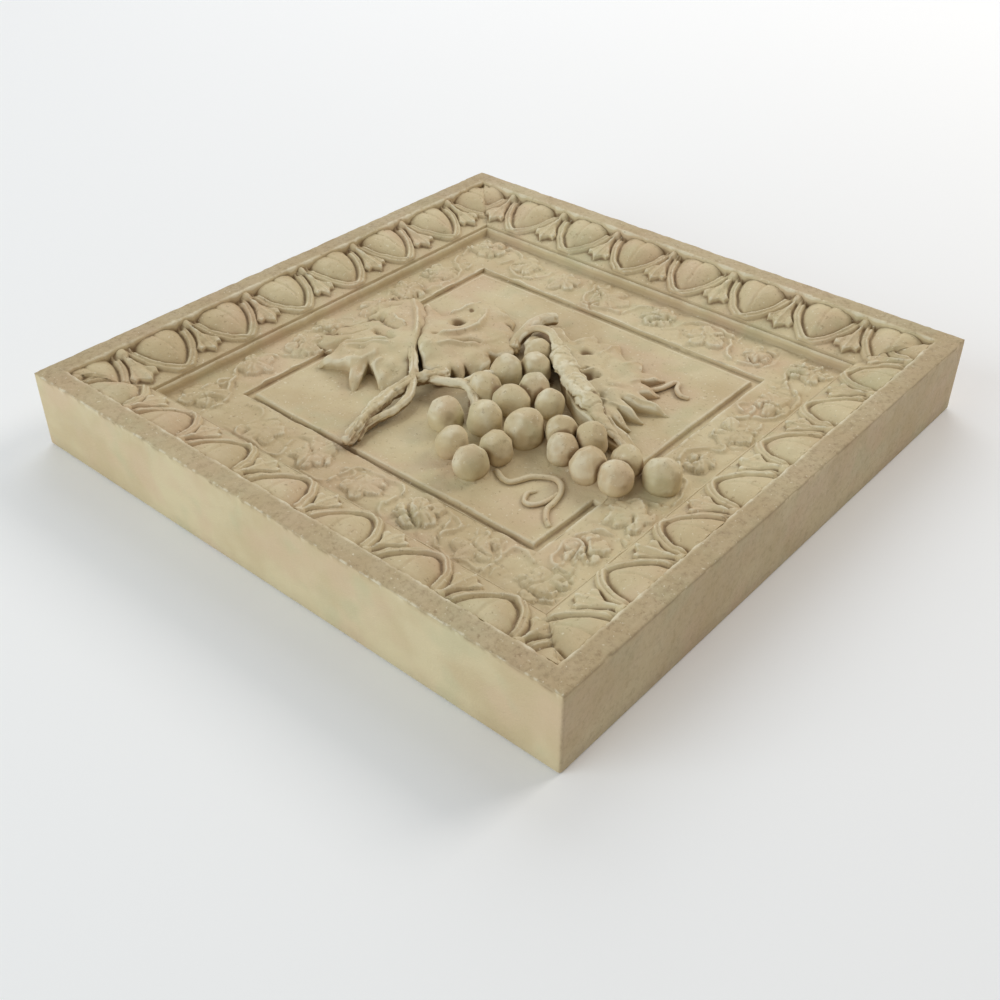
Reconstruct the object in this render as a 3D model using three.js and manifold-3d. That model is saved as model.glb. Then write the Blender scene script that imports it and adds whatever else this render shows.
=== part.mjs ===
// Square cast plaster wall plaque: egg-and-dart border, vine band, and a high relief of grapes and leaves.
// Millimetres, +Z up as it hangs. The back lies on Y = 0, the front faces -Y, and the origin is the middle of
// the back. Everything is modelled flat (x right, y up, z out of the wall) and stood up at the end.

import * as THREE from 'three';
import { mergeVertices } from 'three/addons/utils/BufferGeometryUtils.js';
import Module from 'manifold-3d';

const wasm = await Module();
wasm.setup();

// ---- driving dimensions ----
const side = 305;
const thickness = 38.5;
const half = side / 2;
const edgeChamfer = 1.2;
const rimWidth = 10.7;
const rimInner = half - rimWidth;
const rimStep = 4.2;              // drop from the rim to the head of the egg band
const bandFoot = 117;             // distance of the egg band's foot from the middle
const bandFootHeight = 27.8;
const fillet = { width: 1.4, step: 2.3, run: 0.2 };
const ground = 22;                // height of the vine band and the panel
const bury = 3;                   // how far raised work runs down into the ground
const pitch = 37.3;               // one egg and one dart
const sinkOfBand = thickness - rimStep - bandFootHeight;
const bandRun = rimInner - bandFoot;
const bandSlope = Math.atan2(sinkOfBand, bandRun);
const bandLength = Math.hypot(sinkOfBand, bandRun);

// Where the first dart of each side stands, measured clockwise from the middle of that side.
const sides = [
  { name: 'top', turn: 0, dartStart: -2 },
  { name: 'right', turn: -Math.PI / 2, dartStart: -5 },
  { name: 'bottom', turn: Math.PI, dartStart: -8.5 },
  { name: 'left', turn: Math.PI / 2, dartStart: -11 },
];

// Inner and outer edges of the groove around the panel, from the middle.
const groove = {
  depth: 2,
  inner: { left: 83.5, right: 77.5, top: 84.5, bottom: 83.5 },
  outer: { left: 86.5, right: 83, top: 89, bottom: 87.5 },
};

// ---- helpers ----
// A closed three.js geometry as a manifold solid.
function solid(geometry) {
  const bare = geometry.index ? geometry.clone() : mergeVertices(geometry.clone(), 1e-4);
  bare.deleteAttribute('normal');
  bare.deleteAttribute('uv');
  const merged = mergeVertices(bare, 1e-3);
  const index = merged.index.array;
  const kept = [];
  for (let i = 0; i < index.length; i += 3) {
    const [a, b, c] = [index[i], index[i + 1], index[i + 2]];
    if (a !== b && b !== c && c !== a) kept.push(a, b, c);
  }
  return new wasm.Manifold(new wasm.Mesh({
    numProp: 3,
    vertProperties: new Float32Array(merged.attributes.position.array),
    triVerts: new Uint32Array(kept),
  }));
}

// Moves every vertex of a geometry through a function of its position.
function reshape(geometry, move) {
  const at = geometry.attributes.position;
  const point = new THREE.Vector3();
  for (let i = 0; i < at.count; i += 1) {
    point.fromBufferAttribute(at, i);
    move(point);
    at.setXYZ(i, point.x, point.y, point.z);
  }
  return geometry;
}

const vector = (x, y, z = 0) => new THREE.Vector3(x, y, z);
const mix = THREE.MathUtils.lerp;
const degrees = THREE.MathUtils.degToRad;

// A flat plate of the given outline, standing from z = -bury to z = height.
function plate(points, height, sunk = bury) {
  const shape = new THREE.Shape(points.map(([x, y]) => new THREE.Vector2(x, y)));
  const body = new THREE.ExtrudeGeometry(shape, { depth: height + sunk, bevelEnabled: false, curveSegments: 1 });
  return body.translate(0, 0, -sunk);
}

// A round dome on a short skirt: radius 1, height 1, with its axis along z.
function dome(segments, rings) {
  const profile = [new THREE.Vector2(0, -1), new THREE.Vector2(1, -1)];
  for (let i = 0; i <= rings; i += 1) {
    const rise = (i / rings) * (Math.PI / 2);
    profile.push(new THREE.Vector2(i === rings ? 0 : Math.cos(rise), Math.sin(rise)));
  }
  return new THREE.LatheGeometry(profile, segments).rotateX(Math.PI / 2);
}

// A cord of many-sided section swept along a smooth curve through the points.
function cord(points, radius, steps, corners = 6) {
  const path = new THREE.CatmullRomCurve3(points);
  const section = new THREE.Shape();
  for (let i = 0; i < corners; i += 1) {
    const turn = (i / corners) * 2 * Math.PI;
    const [x, y] = [radius * Math.cos(turn), radius * Math.sin(turn)];
    if (i === 0) section.moveTo(x, y);
    else section.lineTo(x, y);
  }
  section.closePath();
  return new THREE.ExtrudeGeometry(section, { steps, extrudePath: path, bevelEnabled: false, curveSegments: 1 });
}

// ---- the slab with its mouldings ----
function slab() {
  const corner = Math.SQRT2;      // a four-sided lathe has its corners on the profile's radius
  let level = bandFootHeight;
  let reach = bandFoot;
  const profile = [[0, 0], [half, 0], [half, thickness - edgeChamfer], [half - edgeChamfer, thickness]];
  profile.push([rimInner, thickness], [rimInner, thickness - rimStep], [bandFoot, bandFootHeight]);
  for (let i = 0; i < 2; i += 1) {
    reach -= fillet.width;
    profile.push([reach, level]);
    reach -= fillet.run;
    level = i === 0 ? level - fillet.step : ground;
    profile.push([reach, level]);
  }
  profile.push([0, ground]);
  const points = profile.map(([x, y]) => new THREE.Vector2(x * corner, y));
  return new THREE.LatheGeometry(points, 4, Math.PI / 4).rotateX(Math.PI / 2);
}

function grooveRing() {
  const frame = ({ left, right, top, bottom }) => [[-left, -bottom], [right, -bottom], [right, top], [-left, top]];
  const inside = solid(plate(frame(groove.inner), 1, groove.depth + 1));
  return solid(plate(frame(groove.outer), 1, groove.depth)).subtract(inside).translate([0, 0, ground]);
}

// ---- egg and dart, in the band's own frame: u along it, v from its foot to the rim, w out of it ----
const footing = 1.2;              // how far the band's carving runs down into its ground
const egg = { width: 22, toFoot: 12, toRim: 14, rise: 5, middle: 16.5, point: 0.35 };
const husk = { outer: 16.2, inner: 12.9, foot: 0.9, wall: 2.6, rise: 3.4, steps: 6 };
const dart = { head: 2.3, rise: 2.6 };

function eggBody() {
  return reshape(dome(8, 2), (p) => {
    const toFoot = Math.max(0, -p.y);
    p.x *= (egg.width / 2) * (1 - egg.point * toFoot * toFoot);
    p.y = egg.middle + p.y * (p.y < 0 ? egg.toFoot : egg.toRim);
    p.z *= p.z < 0 ? footing : egg.rise;
  });
}

function huskBody() {
  const arc = (reach, foot) => {
    const points = [];
    for (let i = 0; i <= husk.steps; i += 1) {
      const turn = (i / husk.steps) * Math.PI;
      points.push([reach * Math.cos(turn), bandLength + 1 - (bandLength + 1 - foot) * Math.sin(turn) ** 0.85]);
    }
    return points;
  };
  const outer = arc(husk.outer, husk.foot);
  const inner = arc(husk.inner, husk.foot + husk.wall);
  return plate([...outer, ...inner.reverse()], husk.rise, footing);
}

function dartBody() {
  const right = [[1.5, 20], [3.2, 13], [6.2, 6.6], [2.8, 8.4]];
  const left = right.map(([x, y]) => [-x, y]).reverse();
  const head = bandLength + 1;
  const outline = [[dart.head, head], [-dart.head, head], ...left.reverse(), [0, 3.2], ...right.reverse()];
  return plate(outline, dart.rise, footing);
}

// From the band's frame to the top side of the plaque.
const ontoBand = new THREE.Matrix4()
  .makeTranslation(0, bandFoot, bandFootHeight)
  .multiply(new THREE.Matrix4().makeRotationX(bandSlope));

function eggAndDart(run) {
  const pieces = [];
  const count = Math.ceil(half / pitch) + 1;
  const place = (body, along) => {
    if (Math.abs(along) > half) return;
    pieces.push(solid(body.applyMatrix4(ontoBand).translate(along, 0, 0)));
  };
  for (let i = -count; i <= count; i += 1) {
    const dartAt = run.dartStart + i * pitch;
    place(dartBody(), dartAt);
    place(eggBody(), dartAt + pitch / 2);
    place(huskBody(), dartAt + pitch / 2);
  }
  return wasm.Manifold.union(pieces);
}

// ---- vine band: a wavy stem with five-lobed leaves on both sides of it, in low relief ----
const vine = { middle: 101, swing: 5, rise: 1.3, stem: 1.5, leaf: 9, leafPitch: 39, lobes: 5 };

function vineStem() {
  const reach = half - 44;
  const steps = 14;
  const upper = [];
  const lower = [];
  for (let i = 0; i <= steps; i += 1) {
    const x = mix(-reach, reach, i / steps);
    const y = vine.middle + vine.swing * Math.sin((x / vine.leafPitch) * Math.PI);
    upper.push([x, y + vine.stem / 2]);
    lower.push([x, y - vine.stem / 2]);
  }
  return plate([...lower, ...upper.reverse()], vine.rise * 0.7, footing);
}

function vineLeaf() {
  const points = [];
  for (let i = 0; i < vine.lobes * 2; i += 1) {
    const turn = (i / (vine.lobes * 2)) * 2 * Math.PI + Math.PI / 2;
    const reach = i % 2 === 0 ? vine.leaf : vine.leaf * 0.55;
    points.push([reach * Math.cos(turn), reach * Math.sin(turn)]);
  }
  return plate(points, vine.rise, footing);
}

function vineBand() {
  const pieces = [solid(vineStem().translate(0, 0, ground))];
  for (let i = -2; i <= 2; i += 1) {
    const lean = i * 1.3;
    const x = (i + 0.5) * vine.leafPitch * 0.98;
    if (x > half - 50) continue;
    const y = vine.middle + (i % 2 === 0 ? 2 : -2);
    pieces.push(solid(vineLeaf().rotateZ(lean).translate(x, y, ground)));
  }
  return wasm.Manifold.union(pieces);
}

// ---- one side: its ornament, cut off at the mitres ----
function mitreWedge() {
  const reach = half + 5;
  const overlap = 0.05;
  const points = [[0, -overlap], [reach, reach - overlap], [-reach, reach - overlap]];
  return solid(plate(points, thickness, 0));
}

function ornamentOfSide(run) {
  return wasm.Manifold.union([eggAndDart(run), vineBand()])
    .intersect(mitreWedge())
    .rotate([0, 0, THREE.MathUtils.radToDeg(run.turn)]);
}

// ---- high relief ----
// A leaf is a dome stretched to a lobed outline. Each tip is [degrees, reach] from the leaf's middle.
const leaves = [
  {
    middle: [-24, 66], crown: 33, edge: 25.5, notch: 0.74,
    tips: [[-62, 21], [10, 24], [53, 34], [108, 31], [149, 34], [180, 22], [203, 33], [232, 31]],
  },
  {
    middle: [14, 60], crown: 31.5, edge: 24, notch: 0.78,
    tips: [[-127, 36], [-68, 41], [-25, 40], [4, 41], [54, 44], [82, 43], [119, 29], [205, 34]],
  },
  {
    middle: [28, -26], crown: 29, edge: 24, notch: 0.76,
    tips: [[-133, 60], [-117, 44], [-105, 40], [-92, 46], [-72, 35], [-47, 38], [-18, 30], [14, 37], [34, 50],
      [54, 55], [84, 41], [118, 22], [166, 26], [196, 36], [211, 46]],
  },
];

function leafBody({ middle, crown, edge, notch, tips }) {
  const corners = tips.length * 2;
  const rings = [1, 0.6, 0];
  const profile = [new THREE.Vector2(0, -1), new THREE.Vector2(1, -1)];
  rings.forEach((ring) => profile.push(new THREE.Vector2(ring, 1 - ring)));
  const body = new THREE.LatheGeometry(profile, corners).rotateX(Math.PI / 2);
  return reshape(body, (p) => {
    const ring = Math.hypot(p.x, p.y);
    const step = Math.round((Math.atan2(p.x, -p.y) / (2 * Math.PI)) * corners + corners) % corners;
    const [angle, reach] = tips[Math.floor(step / 2)];
    const [nextAngle, nextReach] = tips[(Math.floor(step / 2) + 1) % tips.length];
    const between = step % 2 === 1;
    const spread = nextAngle < angle ? nextAngle + 360 : nextAngle;
    const turn = degrees(between ? (angle + spread) / 2 : angle);
    const length = between ? notch * (reach + nextReach) / 2 : reach;
    const rib = between ? -1.2 : 1.2;
    const top = mix(crown, edge, ring ** 2) + (ring > 0 && ring < 1 ? rib : 0);
    p.z = p.z < 0 ? ground - bury : top;
    p.x = middle[0] + ring * length * Math.cos(turn);
    p.y = middle[1] + ring * length * Math.sin(turn);
  });
}

// The right leaf's near edge rolls over towards the front.
const rolledEdge = [vector(18, 12, 27), vector(28, 13, 31), vector(35, 9, 33), vector(32, 0, 33.5), vector(23, -9, 33.5),
  vector(12, -15, 33.5), vector(2, -24, 33), vector(-5, -34, 32), vector(-10, -46, 31), vector(-12, -60, 29),
  vector(-14, -72, 26)];

// The cut branch, its second strand, the two leaf stalks and the stalk of the bunch.
const woodyParts = [
  { radius: 3.6, steps: 7, path: [vector(-86, 19, 24), vector(-67, 27, 26), vector(-52, 30, 27), vector(-32, 31, 29)] },
  { radius: 2.2, steps: 8, path: [vector(-70, 23, 24), vector(-52, 20, 25), vector(-38, 24, 28), vector(-27, 34, 30),
    vector(-16, 46, 31)] },
  { radius: 3, steps: 3, path: [vector(-36, 31, 29), vector(-26, 25, 29.5), vector(-18, 20, 29.5)] },
  { radius: 2.1, steps: 5, path: [vector(-28, 26, 28), vector(-23, 9, 29), vector(-27, -4, 29), vector(-32, -12, 28)] },
];

const tendrils = [
  [vector(-57, -41, 22), vector(-58, -50, 22.6), vector(-48, -56, 22.6), vector(-46, -65, 22.6), vector(-52, -72, 22.6),
    vector(-62, -73, 22.6), vector(-70, -78, 22.6), vector(-70, -83, 22)],
  [vector(-52, -72, 22.4), vector(-62, -70, 22.6), vector(-66, -64, 22.6), vector(-61, -60, 22.6), vector(-56, -64, 22.4)],
  [vector(37, -44, 22), vector(36, -52, 22.6), vector(42, -57, 22.6), vector(50, -59, 22.6), vector(47, -65, 22.6),
    vector(46, -71, 22)],
];
const tendrilRadius = 1.4;

// Grapes: x, y and height of the middle, and radius.
const grapes = [
  [-44, 0, 28, 8.5], [-58, -17, 28, 7.5], [-65, -34, 29, 8], [-49, -34, 28, 7.7], [-37, -17, 30, 8.2],
  [-19, -2, 30.8, 7.2], [-1, 1, 30, 8], [-19, -17, 30.5, 7.7], [-31, -35, 29, 9.2], [11, -7, 30, 7.2],
  [23, 2, 28.5, 7], [-6, -19, 30.8, 7.3], [-10, -32, 30.5, 7], [-23, -49, 30, 7.1], [-32, -57, 29, 7.2],
  [-20, -63, 31, 7.1], [-35, -73, 29.5, 8.2], [-35, -87, 30, 7.6], [-22, -83, 29, 7.5], [-20, -100, 28.5, 8.6],
];

function grapeBody([x, y, height, radius]) {
  return new THREE.IcosahedronGeometry(radius, 1).rotateX(x).rotateY(y).translate(x, y, height);
}

function highRelief() {
  const pieces = leaves.map((leaf) => solid(leafBody(leaf)));
  pieces.push(solid(cord(rolledEdge, 2.6, 12)));
  woodyParts.forEach(({ radius, steps, path }) => pieces.push(solid(cord(path, radius, steps))));
  tendrils.forEach((path) => pieces.push(solid(cord(path, tendrilRadius, 10, 4))));
  grapes.forEach((grape) => pieces.push(solid(grapeBody(grape))));
  return wasm.Manifold.union(pieces);
}

// ---- the casting ----
function plaqueGeometry() {
  const casting = wasm.Manifold.union([
    solid(slab()).subtract(grooveRing()),
    ...sides.map(ornamentOfSide),
    highRelief(),
  ]);
  const mesh = casting.getMesh();
  const geometry = new THREE.BufferGeometry();
  geometry.setAttribute('position', new THREE.BufferAttribute(new Float32Array(mesh.vertProperties), 3));
  geometry.setIndex(new THREE.BufferAttribute(new Uint32Array(mesh.triVerts), 1));
  geometry.computeVertexNormals();
  return geometry;
}

const paintedPlaster = new THREE.MeshStandardMaterial({ color: 0xc9b694, roughness: 0.85, metalness: 0 });

const plaque = new THREE.Mesh(plaqueGeometry(), paintedPlaster);
plaque.name = 'plaque';

const group = new THREE.Group();
group.add(plaque);
group.rotation.x = Math.PI / 2;   // stands the flat model up: its front turns to -Y

export default group;
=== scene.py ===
"""The cast plaster wall plaque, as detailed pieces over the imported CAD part.

All shapes are worked out in the plaque's flat frame, in millimetres: x right, y up as it hangs, z out of
the wall.
raise_piece() stands them up in the row frame, in metres.
"""
import math

import bmesh
import bpy
import numpy as np
from mathutils import Matrix, Vector
from mathutils.geometry import delaunay_2d_cdt


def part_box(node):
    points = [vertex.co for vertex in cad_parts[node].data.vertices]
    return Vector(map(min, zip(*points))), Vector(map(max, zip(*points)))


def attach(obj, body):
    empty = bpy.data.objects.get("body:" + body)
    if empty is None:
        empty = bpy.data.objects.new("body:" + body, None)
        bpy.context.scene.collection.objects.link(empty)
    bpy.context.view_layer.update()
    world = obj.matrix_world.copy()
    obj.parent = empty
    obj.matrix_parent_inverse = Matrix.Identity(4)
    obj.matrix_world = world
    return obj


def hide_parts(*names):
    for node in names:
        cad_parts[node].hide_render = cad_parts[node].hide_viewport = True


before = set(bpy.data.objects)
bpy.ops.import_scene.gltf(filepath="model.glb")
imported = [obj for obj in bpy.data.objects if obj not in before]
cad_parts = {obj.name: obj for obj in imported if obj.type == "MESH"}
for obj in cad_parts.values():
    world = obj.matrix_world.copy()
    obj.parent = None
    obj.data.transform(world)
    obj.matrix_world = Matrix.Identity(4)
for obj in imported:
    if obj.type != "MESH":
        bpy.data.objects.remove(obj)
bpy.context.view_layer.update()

NODE = "plaque"
low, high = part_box(NODE)
MM = 1000                          # millimetres in a metre
HALF = (high.x - low.x) / 2 * MM
TOP = (high.y - low.y) * MM

# ---- dimensions, in millimetres ----
RIM_WIDTH = 10.7
RIM_INNER = HALF - RIM_WIDTH
RIM_STEP = 4.2
BAND_FOOT = 117.0
BAND_FOOT_HEIGHT = 27.8
GROUND = 22.0
PITCH = 37.3
BAND_SINK = TOP - RIM_STEP - BAND_FOOT_HEIGHT
BAND_SLOPE = math.atan2(BAND_SINK, RIM_INNER - BAND_FOOT)
BAND_LENGTH = math.hypot(BAND_SINK, RIM_INNER - BAND_FOOT)
UNDER = 18.5                       # where the front pieces end inside the casting
EDGE_RADIUS = 1.1                  # of the edge between the rim and the side faces
CORNER_RADIUS = 1.4                # of the four upright corners
LEAF_STEP = 0.6                    # spacing of the points on a leaf
UNDERCUT = 1.3                     # how far a leaf's wall leans in under its edge
DRAPE_BLUR = 2.2                   # how softly a leaf's top passes its given heights

# The quarter turns that carry the top side to each side, and where that side's first dart stands.
SIDES = (("top", 0, -2.0), ("right", 3, -5.0), ("bottom", 2, -8.5), ("left", 1, -11.0))
GROOVE_DEPTH = 2.0
GROOVE_INNER = {"left": 83.5, "right": 77.5, "top": 84.5, "bottom": 83.5}
GROOVE_OUTER = {"left": 86.5, "right": 83.0, "top": 89.0, "bottom": 87.5}


# ---- small mathematics ----
def ease(start, end, value):
    """0 at start, 1 at end and smooth between them."""
    t = np.clip((value - start) / (end - start), 0, 1)
    return t * t * (3 - 2 * t)


def bump(value, width):
    """1 where value is 0, and falling away on both sides over about the width."""
    return np.exp(-(value / width) ** 2)


def lattice(i, j, k, seed):
    """A steady pseudo-random number from -1 to 1 for each whole-number point."""
    n = (i * 374761393 + j * 668265263 + k * 1274126177 + seed * 362437) & 0xFFFFFFFF
    n = ((n ^ (n >> 13)) * 1274126177) & 0xFFFFFFFF
    n = ((n ^ (n >> 16)) * 2246822519) & 0xFFFFFFFF
    return ((n ^ (n >> 15)) & 0xFFFF) / 32767.5 - 1


def noise(x, y, z, size, seed):
    """Smooth noise from -1 to 1 whose blobs are about size across."""
    x, y, z = np.broadcast_arrays(x / size, y / size, z / size)
    i, j, k = (np.floor(a).astype(np.int64) for a in (x, y, z))
    u, v, w = (a - b for a, b in ((x, i), (y, j), (z, k)))
    u, v, w = (a * a * (3 - 2 * a) for a in (u, v, w))
    total = 0
    for di in (0, 1):
        for dj in (0, 1):
            for dk in (0, 1):
                weight = (u if di else 1 - u) * (v if dj else 1 - v) * (w if dk else 1 - w)
                total = total + weight * lattice(i + di, j + dj, k + dk, seed)
    return total


def layered(x, y, z, size, seed):
    """Three layers of noise, each half the size and strength of the one before."""
    return sum(noise(x, y, z, size / 2 ** n, seed + n) / 2 ** n for n in range(3)) / 1.5


def near_line(x, y, points):
    """Distance from each place to a line through the points, and how far along it that is, 0 to 1."""
    best = np.full(np.shape(x), 1e9)
    along = np.zeros(np.shape(x))
    count = len(points) - 1
    for n, ((ax, ay), (bx, by)) in enumerate(zip(points, points[1:])):
        dx, dy = bx - ax, by - ay
        t = np.clip(((x - ax) * dx + (y - ay) * dy) / (dx * dx + dy * dy), 0, 1)
        distance = np.hypot(x - ax - t * dx, y - ay - t * dy)
        closer = distance < best
        best = np.where(closer, distance, best)
        along = np.where(closer, (n + t) / count, along)
    return best, along


def inside(x, y, points):
    """How far each place is inside a closed outline; below 0 outside it."""
    distance, _ = near_line(x, y, list(points) + [points[0]])
    odd = np.zeros(np.shape(x), bool)
    for (ax, ay), (bx, by) in zip(points, list(points[1:]) + [points[0]]):
        if ay == by:
            continue
        crosses = (ay > y) != (by > y)
        odd ^= crosses & (x < (bx - ax) * (y - ay) / (by - ay) + ax)
    return np.where(odd, distance, -distance)


def rounded(points, keep=0.14):
    """A closed line with its corners cut twice."""
    points = np.asarray(points, float)
    for _ in range(2):
        after = np.roll(points, -1, axis=0)
        pairs = [points * (1 - keep) + after * keep, points * keep + after * (1 - keep)]
        points = np.stack(pairs, 1).reshape(-1, 2)
    return points


def spaced(points, step, closed=False):
    """Points at even steps along a line."""
    points = np.asarray(points, float)
    if closed:
        points = np.vstack([points, points[:1]])
    lengths = np.hypot(*np.diff(points[:, :2], axis=0).T)
    run = np.concatenate([[0], np.cumsum(lengths)])
    count = max(4, int(round(run[-1] / step)))
    places = np.linspace(0, run[-1], count + 1)
    if closed:
        places = places[:-1]
    return np.stack([np.interp(places, run, points[:, n]) for n in range(points.shape[1])], 1)


def curve_through(points, per_span=12):
    """A smooth open curve through the points."""
    points = np.asarray(points, float)
    padded = np.vstack([2 * points[0] - points[1], points, 2 * points[-1] - points[-2]])
    out = []
    for n in range(1, len(padded) - 2):
        a, b, c, d = padded[n - 1:n + 3]
        for t in np.linspace(0, 1, per_span, endpoint=False):
            out.append(0.5 * (2 * b + (c - a) * t + (2 * a - 5 * b + 4 * c - d) * t ** 2
                              + (3 * b - a - 3 * c + d) * t ** 3))
    out.append(points[-1])
    return np.array(out)


def turned(x, y, quarters):
    """Turns each place about the middle by quarter turns, leftwards."""
    for _ in range(quarters % 4):
        x, y = -y, x
    return x, y


# ---- making a piece ----
pieces = []


def raise_piece(name, points, faces, flat_from=None):
    """A mesh from flat-frame millimetres, stood up in the row frame. Faces from flat_from on stay flat."""
    points = np.asarray(points, float)
    points[:, 2] = np.clip(points[:, 2], 0, TOP)
    points[:, :2] = np.clip(points[:, :2], -HALF, HALF)
    stood = np.stack([points[:, 0], -points[:, 2], points[:, 1]], 1) / MM
    mesh = bpy.data.meshes.new(name)
    mesh.from_pydata(stood.tolist(), [], faces)
    mesh.update()
    smooth = np.ones(len(faces), bool)
    smooth[len(faces) if flat_from is None else flat_from:] = False
    mesh.polygons.foreach_set("use_smooth", smooth)
    shell = bmesh.new()
    shell.from_mesh(mesh)
    if shell.calc_volume(signed=True) < 0:
        mesh.flip_normals()
    shell.free()
    piece = bpy.data.objects.new(name, mesh)
    bpy.context.scene.collection.objects.link(piece)
    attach(piece, "root")
    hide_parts(NODE)
    pieces.append(piece)


def sheet_faces(rows, columns, wrap=False):
    """Four-sided faces over a grid of rows by columns, in the grid's own order."""
    r = np.arange(rows - 1)[:, None]
    c = np.arange(columns if wrap else columns - 1)[None, :]
    a, b = r * columns + c, r * columns + (c + 1) % columns
    return np.stack([a, b, b + columns, a + columns], -1).reshape(-1, 4).tolist()


def capped_faces(rows, columns):
    """Faces of a closed bar: rings of points in rows, then one point for each end."""
    faces = sheet_faces(rows, columns, wrap=True)
    first, last = rows * columns, rows * columns + 1
    for c in range(columns):
        after = (c + 1) % columns
        faces.append([first, after, c])
        faces.append([last, (rows - 1) * columns + c, (rows - 1) * columns + after])
    return faces


def wall_faces(loop, first_foot):
    """Faces from a loop of points down to the feet under them, which are numbered from first_foot on."""
    count = len(loop)
    steps = [(n, (n + 1) % count) for n in range(count)]
    return [[loop[m], loop[n], first_foot + n, first_foot + m] for n, m in steps]


def block(name, x, y, z):
    """A closed block whose top is the grid x, y, z. Its walls go straight down to UNDER."""
    rows, columns = x.shape
    top = np.stack([x, y, z], -1).reshape(-1, 3)
    grid = np.arange(rows * columns).reshape(rows, columns)
    ring = np.concatenate([grid[0], grid[1:, -1], grid[-1, -2::-1], grid[-2:0:-1, 0]]).tolist()
    feet = top[ring].copy()
    feet[:, 2] = UNDER
    faces = sheet_faces(rows, columns)
    flat_from = len(faces)
    faces += wall_faces(ring, len(top))
    faces.append([len(top) + n for n in range(len(ring))][::-1])
    raise_piece(name, np.vstack([top, feet]), faces, flat_from)


def relief(name, outline, surface, drop):
    """A raised shape with undercut walls: outline is its edge, surface(x, y) its top's height, and drop how
    far the top falls away towards the edge.
    """
    step = LEAF_STEP
    rim = spaced(rounded(outline), step, closed=True)
    after = np.roll(rim, -1, axis=0)
    if (rim[:, 0] * after[:, 1] - after[:, 0] * rim[:, 1]).sum() < 0:
        rim = rim[::-1]
    count = len(rim)
    rows = np.arange(rim[:, 1].min(), rim[:, 1].max(), step * 0.87)
    x, y = np.meshgrid(np.arange(rim[:, 0].min(), rim[:, 0].max(), step), rows)
    x = x + (np.arange(len(rows)) % 2)[:, None] * step / 2
    depth = inside(x, y, rim)
    keep = depth > step * 0.5
    flat = [Vector(p) for p in np.vstack([rim, np.stack([x[keep], y[keep]], 1)])]
    depth = np.concatenate([np.zeros(count), depth[keep]])
    corners, _, faces, sources, _, _ = delaunay_2d_cdt(flat, [], [list(range(count))], 1, 1e-6)
    place = {source: n for n, group in enumerate(sources) for source in group}
    depth = np.array([depth[group[0]] if group else 0 for group in sources])
    x, y = np.array([tuple(corner) for corner in corners]).T
    z = surface(x, y) - 0.45 * (1 - ease(0, 0.9, depth)) ** 2 - drop * (1 - np.clip(depth / 3.6, 0, 1)) ** 2
    z = z + 0.2 * layered(x, y, 0, 6, 520) + 0.07 * noise(x, y, 0, 1.2, 529)
    top = np.stack([x, y, np.clip(z, GROUND - 0.5, TOP - 0.4)], 1)
    loop = [place[n] for n in range(count)]
    feet = top[loop].copy()
    ahead = np.roll(feet[:, :2], -2, axis=0) - np.roll(feet[:, :2], 2, axis=0)
    ahead /= np.maximum(np.linalg.norm(ahead, axis=1, keepdims=True), 1e-6)
    feet[:, 0] -= UNDERCUT * ahead[:, 1]
    feet[:, 1] += UNDERCUT * ahead[:, 0]
    feet[:, 2] = UNDER
    faces = [list(face) for face in faces]
    flat_from = len(faces)
    faces += wall_faces(loop, len(top))
    faces.append([len(top) + n for n in range(count)][::-1])
    raise_piece(name, np.vstack([top, feet]), faces, flat_from)


def draped(points):
    """A smooth surface that passes close to the points, given as x, y and height."""
    def surface(x, y):
        weight = total = 0
        for px, py, pz in points:
            share = ((x - px) ** 2 + (y - py) ** 2 + DRAPE_BLUR ** 2) ** -1.6
            weight = weight + share
            total = total + share * pz
        return total / weight
    return surface


def tube(name, path, radius, corners, rough=None, flatness=1.0):
    """A closed bar along a curve. radius has a number for each point. rough moves the skin and flatness
    squashes the bar.
    """
    ahead = np.gradient(path, axis=0)
    ahead /= np.linalg.norm(ahead, axis=1, keepdims=True)
    across = np.cross(ahead, (0, 0, 1))
    across /= np.maximum(np.linalg.norm(across, axis=1, keepdims=True), 1e-6)
    upward = np.cross(across, ahead)
    turn = np.linspace(0, 2 * math.pi, corners, endpoint=False)[None, :]
    radius = radius[:, None, None]
    sideways, up = np.cos(turn)[..., None], np.sin(turn)[..., None] * flatness
    spread = across[:, None] * sideways + upward[:, None] * up
    skin = path[:, None] + spread * radius
    if rough is not None:
        skin = skin + spread * rough(skin, turn, np.linspace(0, 1, len(path))[:, None])[..., None]
    ends = [path[:1] - ahead[:1] * radius[0, 0] * 0.4, path[-1:] + ahead[-1:] * radius[-1, 0] * 0.4]
    raise_piece(name, np.vstack([skin.reshape(-1, 3), *ends]), capped_faces(len(path), corners))


# ---- the casting: sides, back and rim ----
def chips(along, side_name):
    """How far the outer top edge is worn or chipped back at each place along a side."""
    worn = 0.18 + 0.16 * noise(along, 0, 0, 7, len(side_name)) + 0.12 * noise(along, 0, 0, 2.4, 5)
    if side_name == "left":
        worn = worn + 0.5 * ease(0.35, 0.8, noise(along, 0, 0, 5, 23))
        worn = worn + 1.1 * bump(along - 12, 2.2)
    if side_name == "bottom":
        worn = worn + 0.9 * bump(along + 147, 2.5) + 0.6 * bump(along - 128, 1.5)
    return np.maximum(worn, 0.05)


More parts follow.
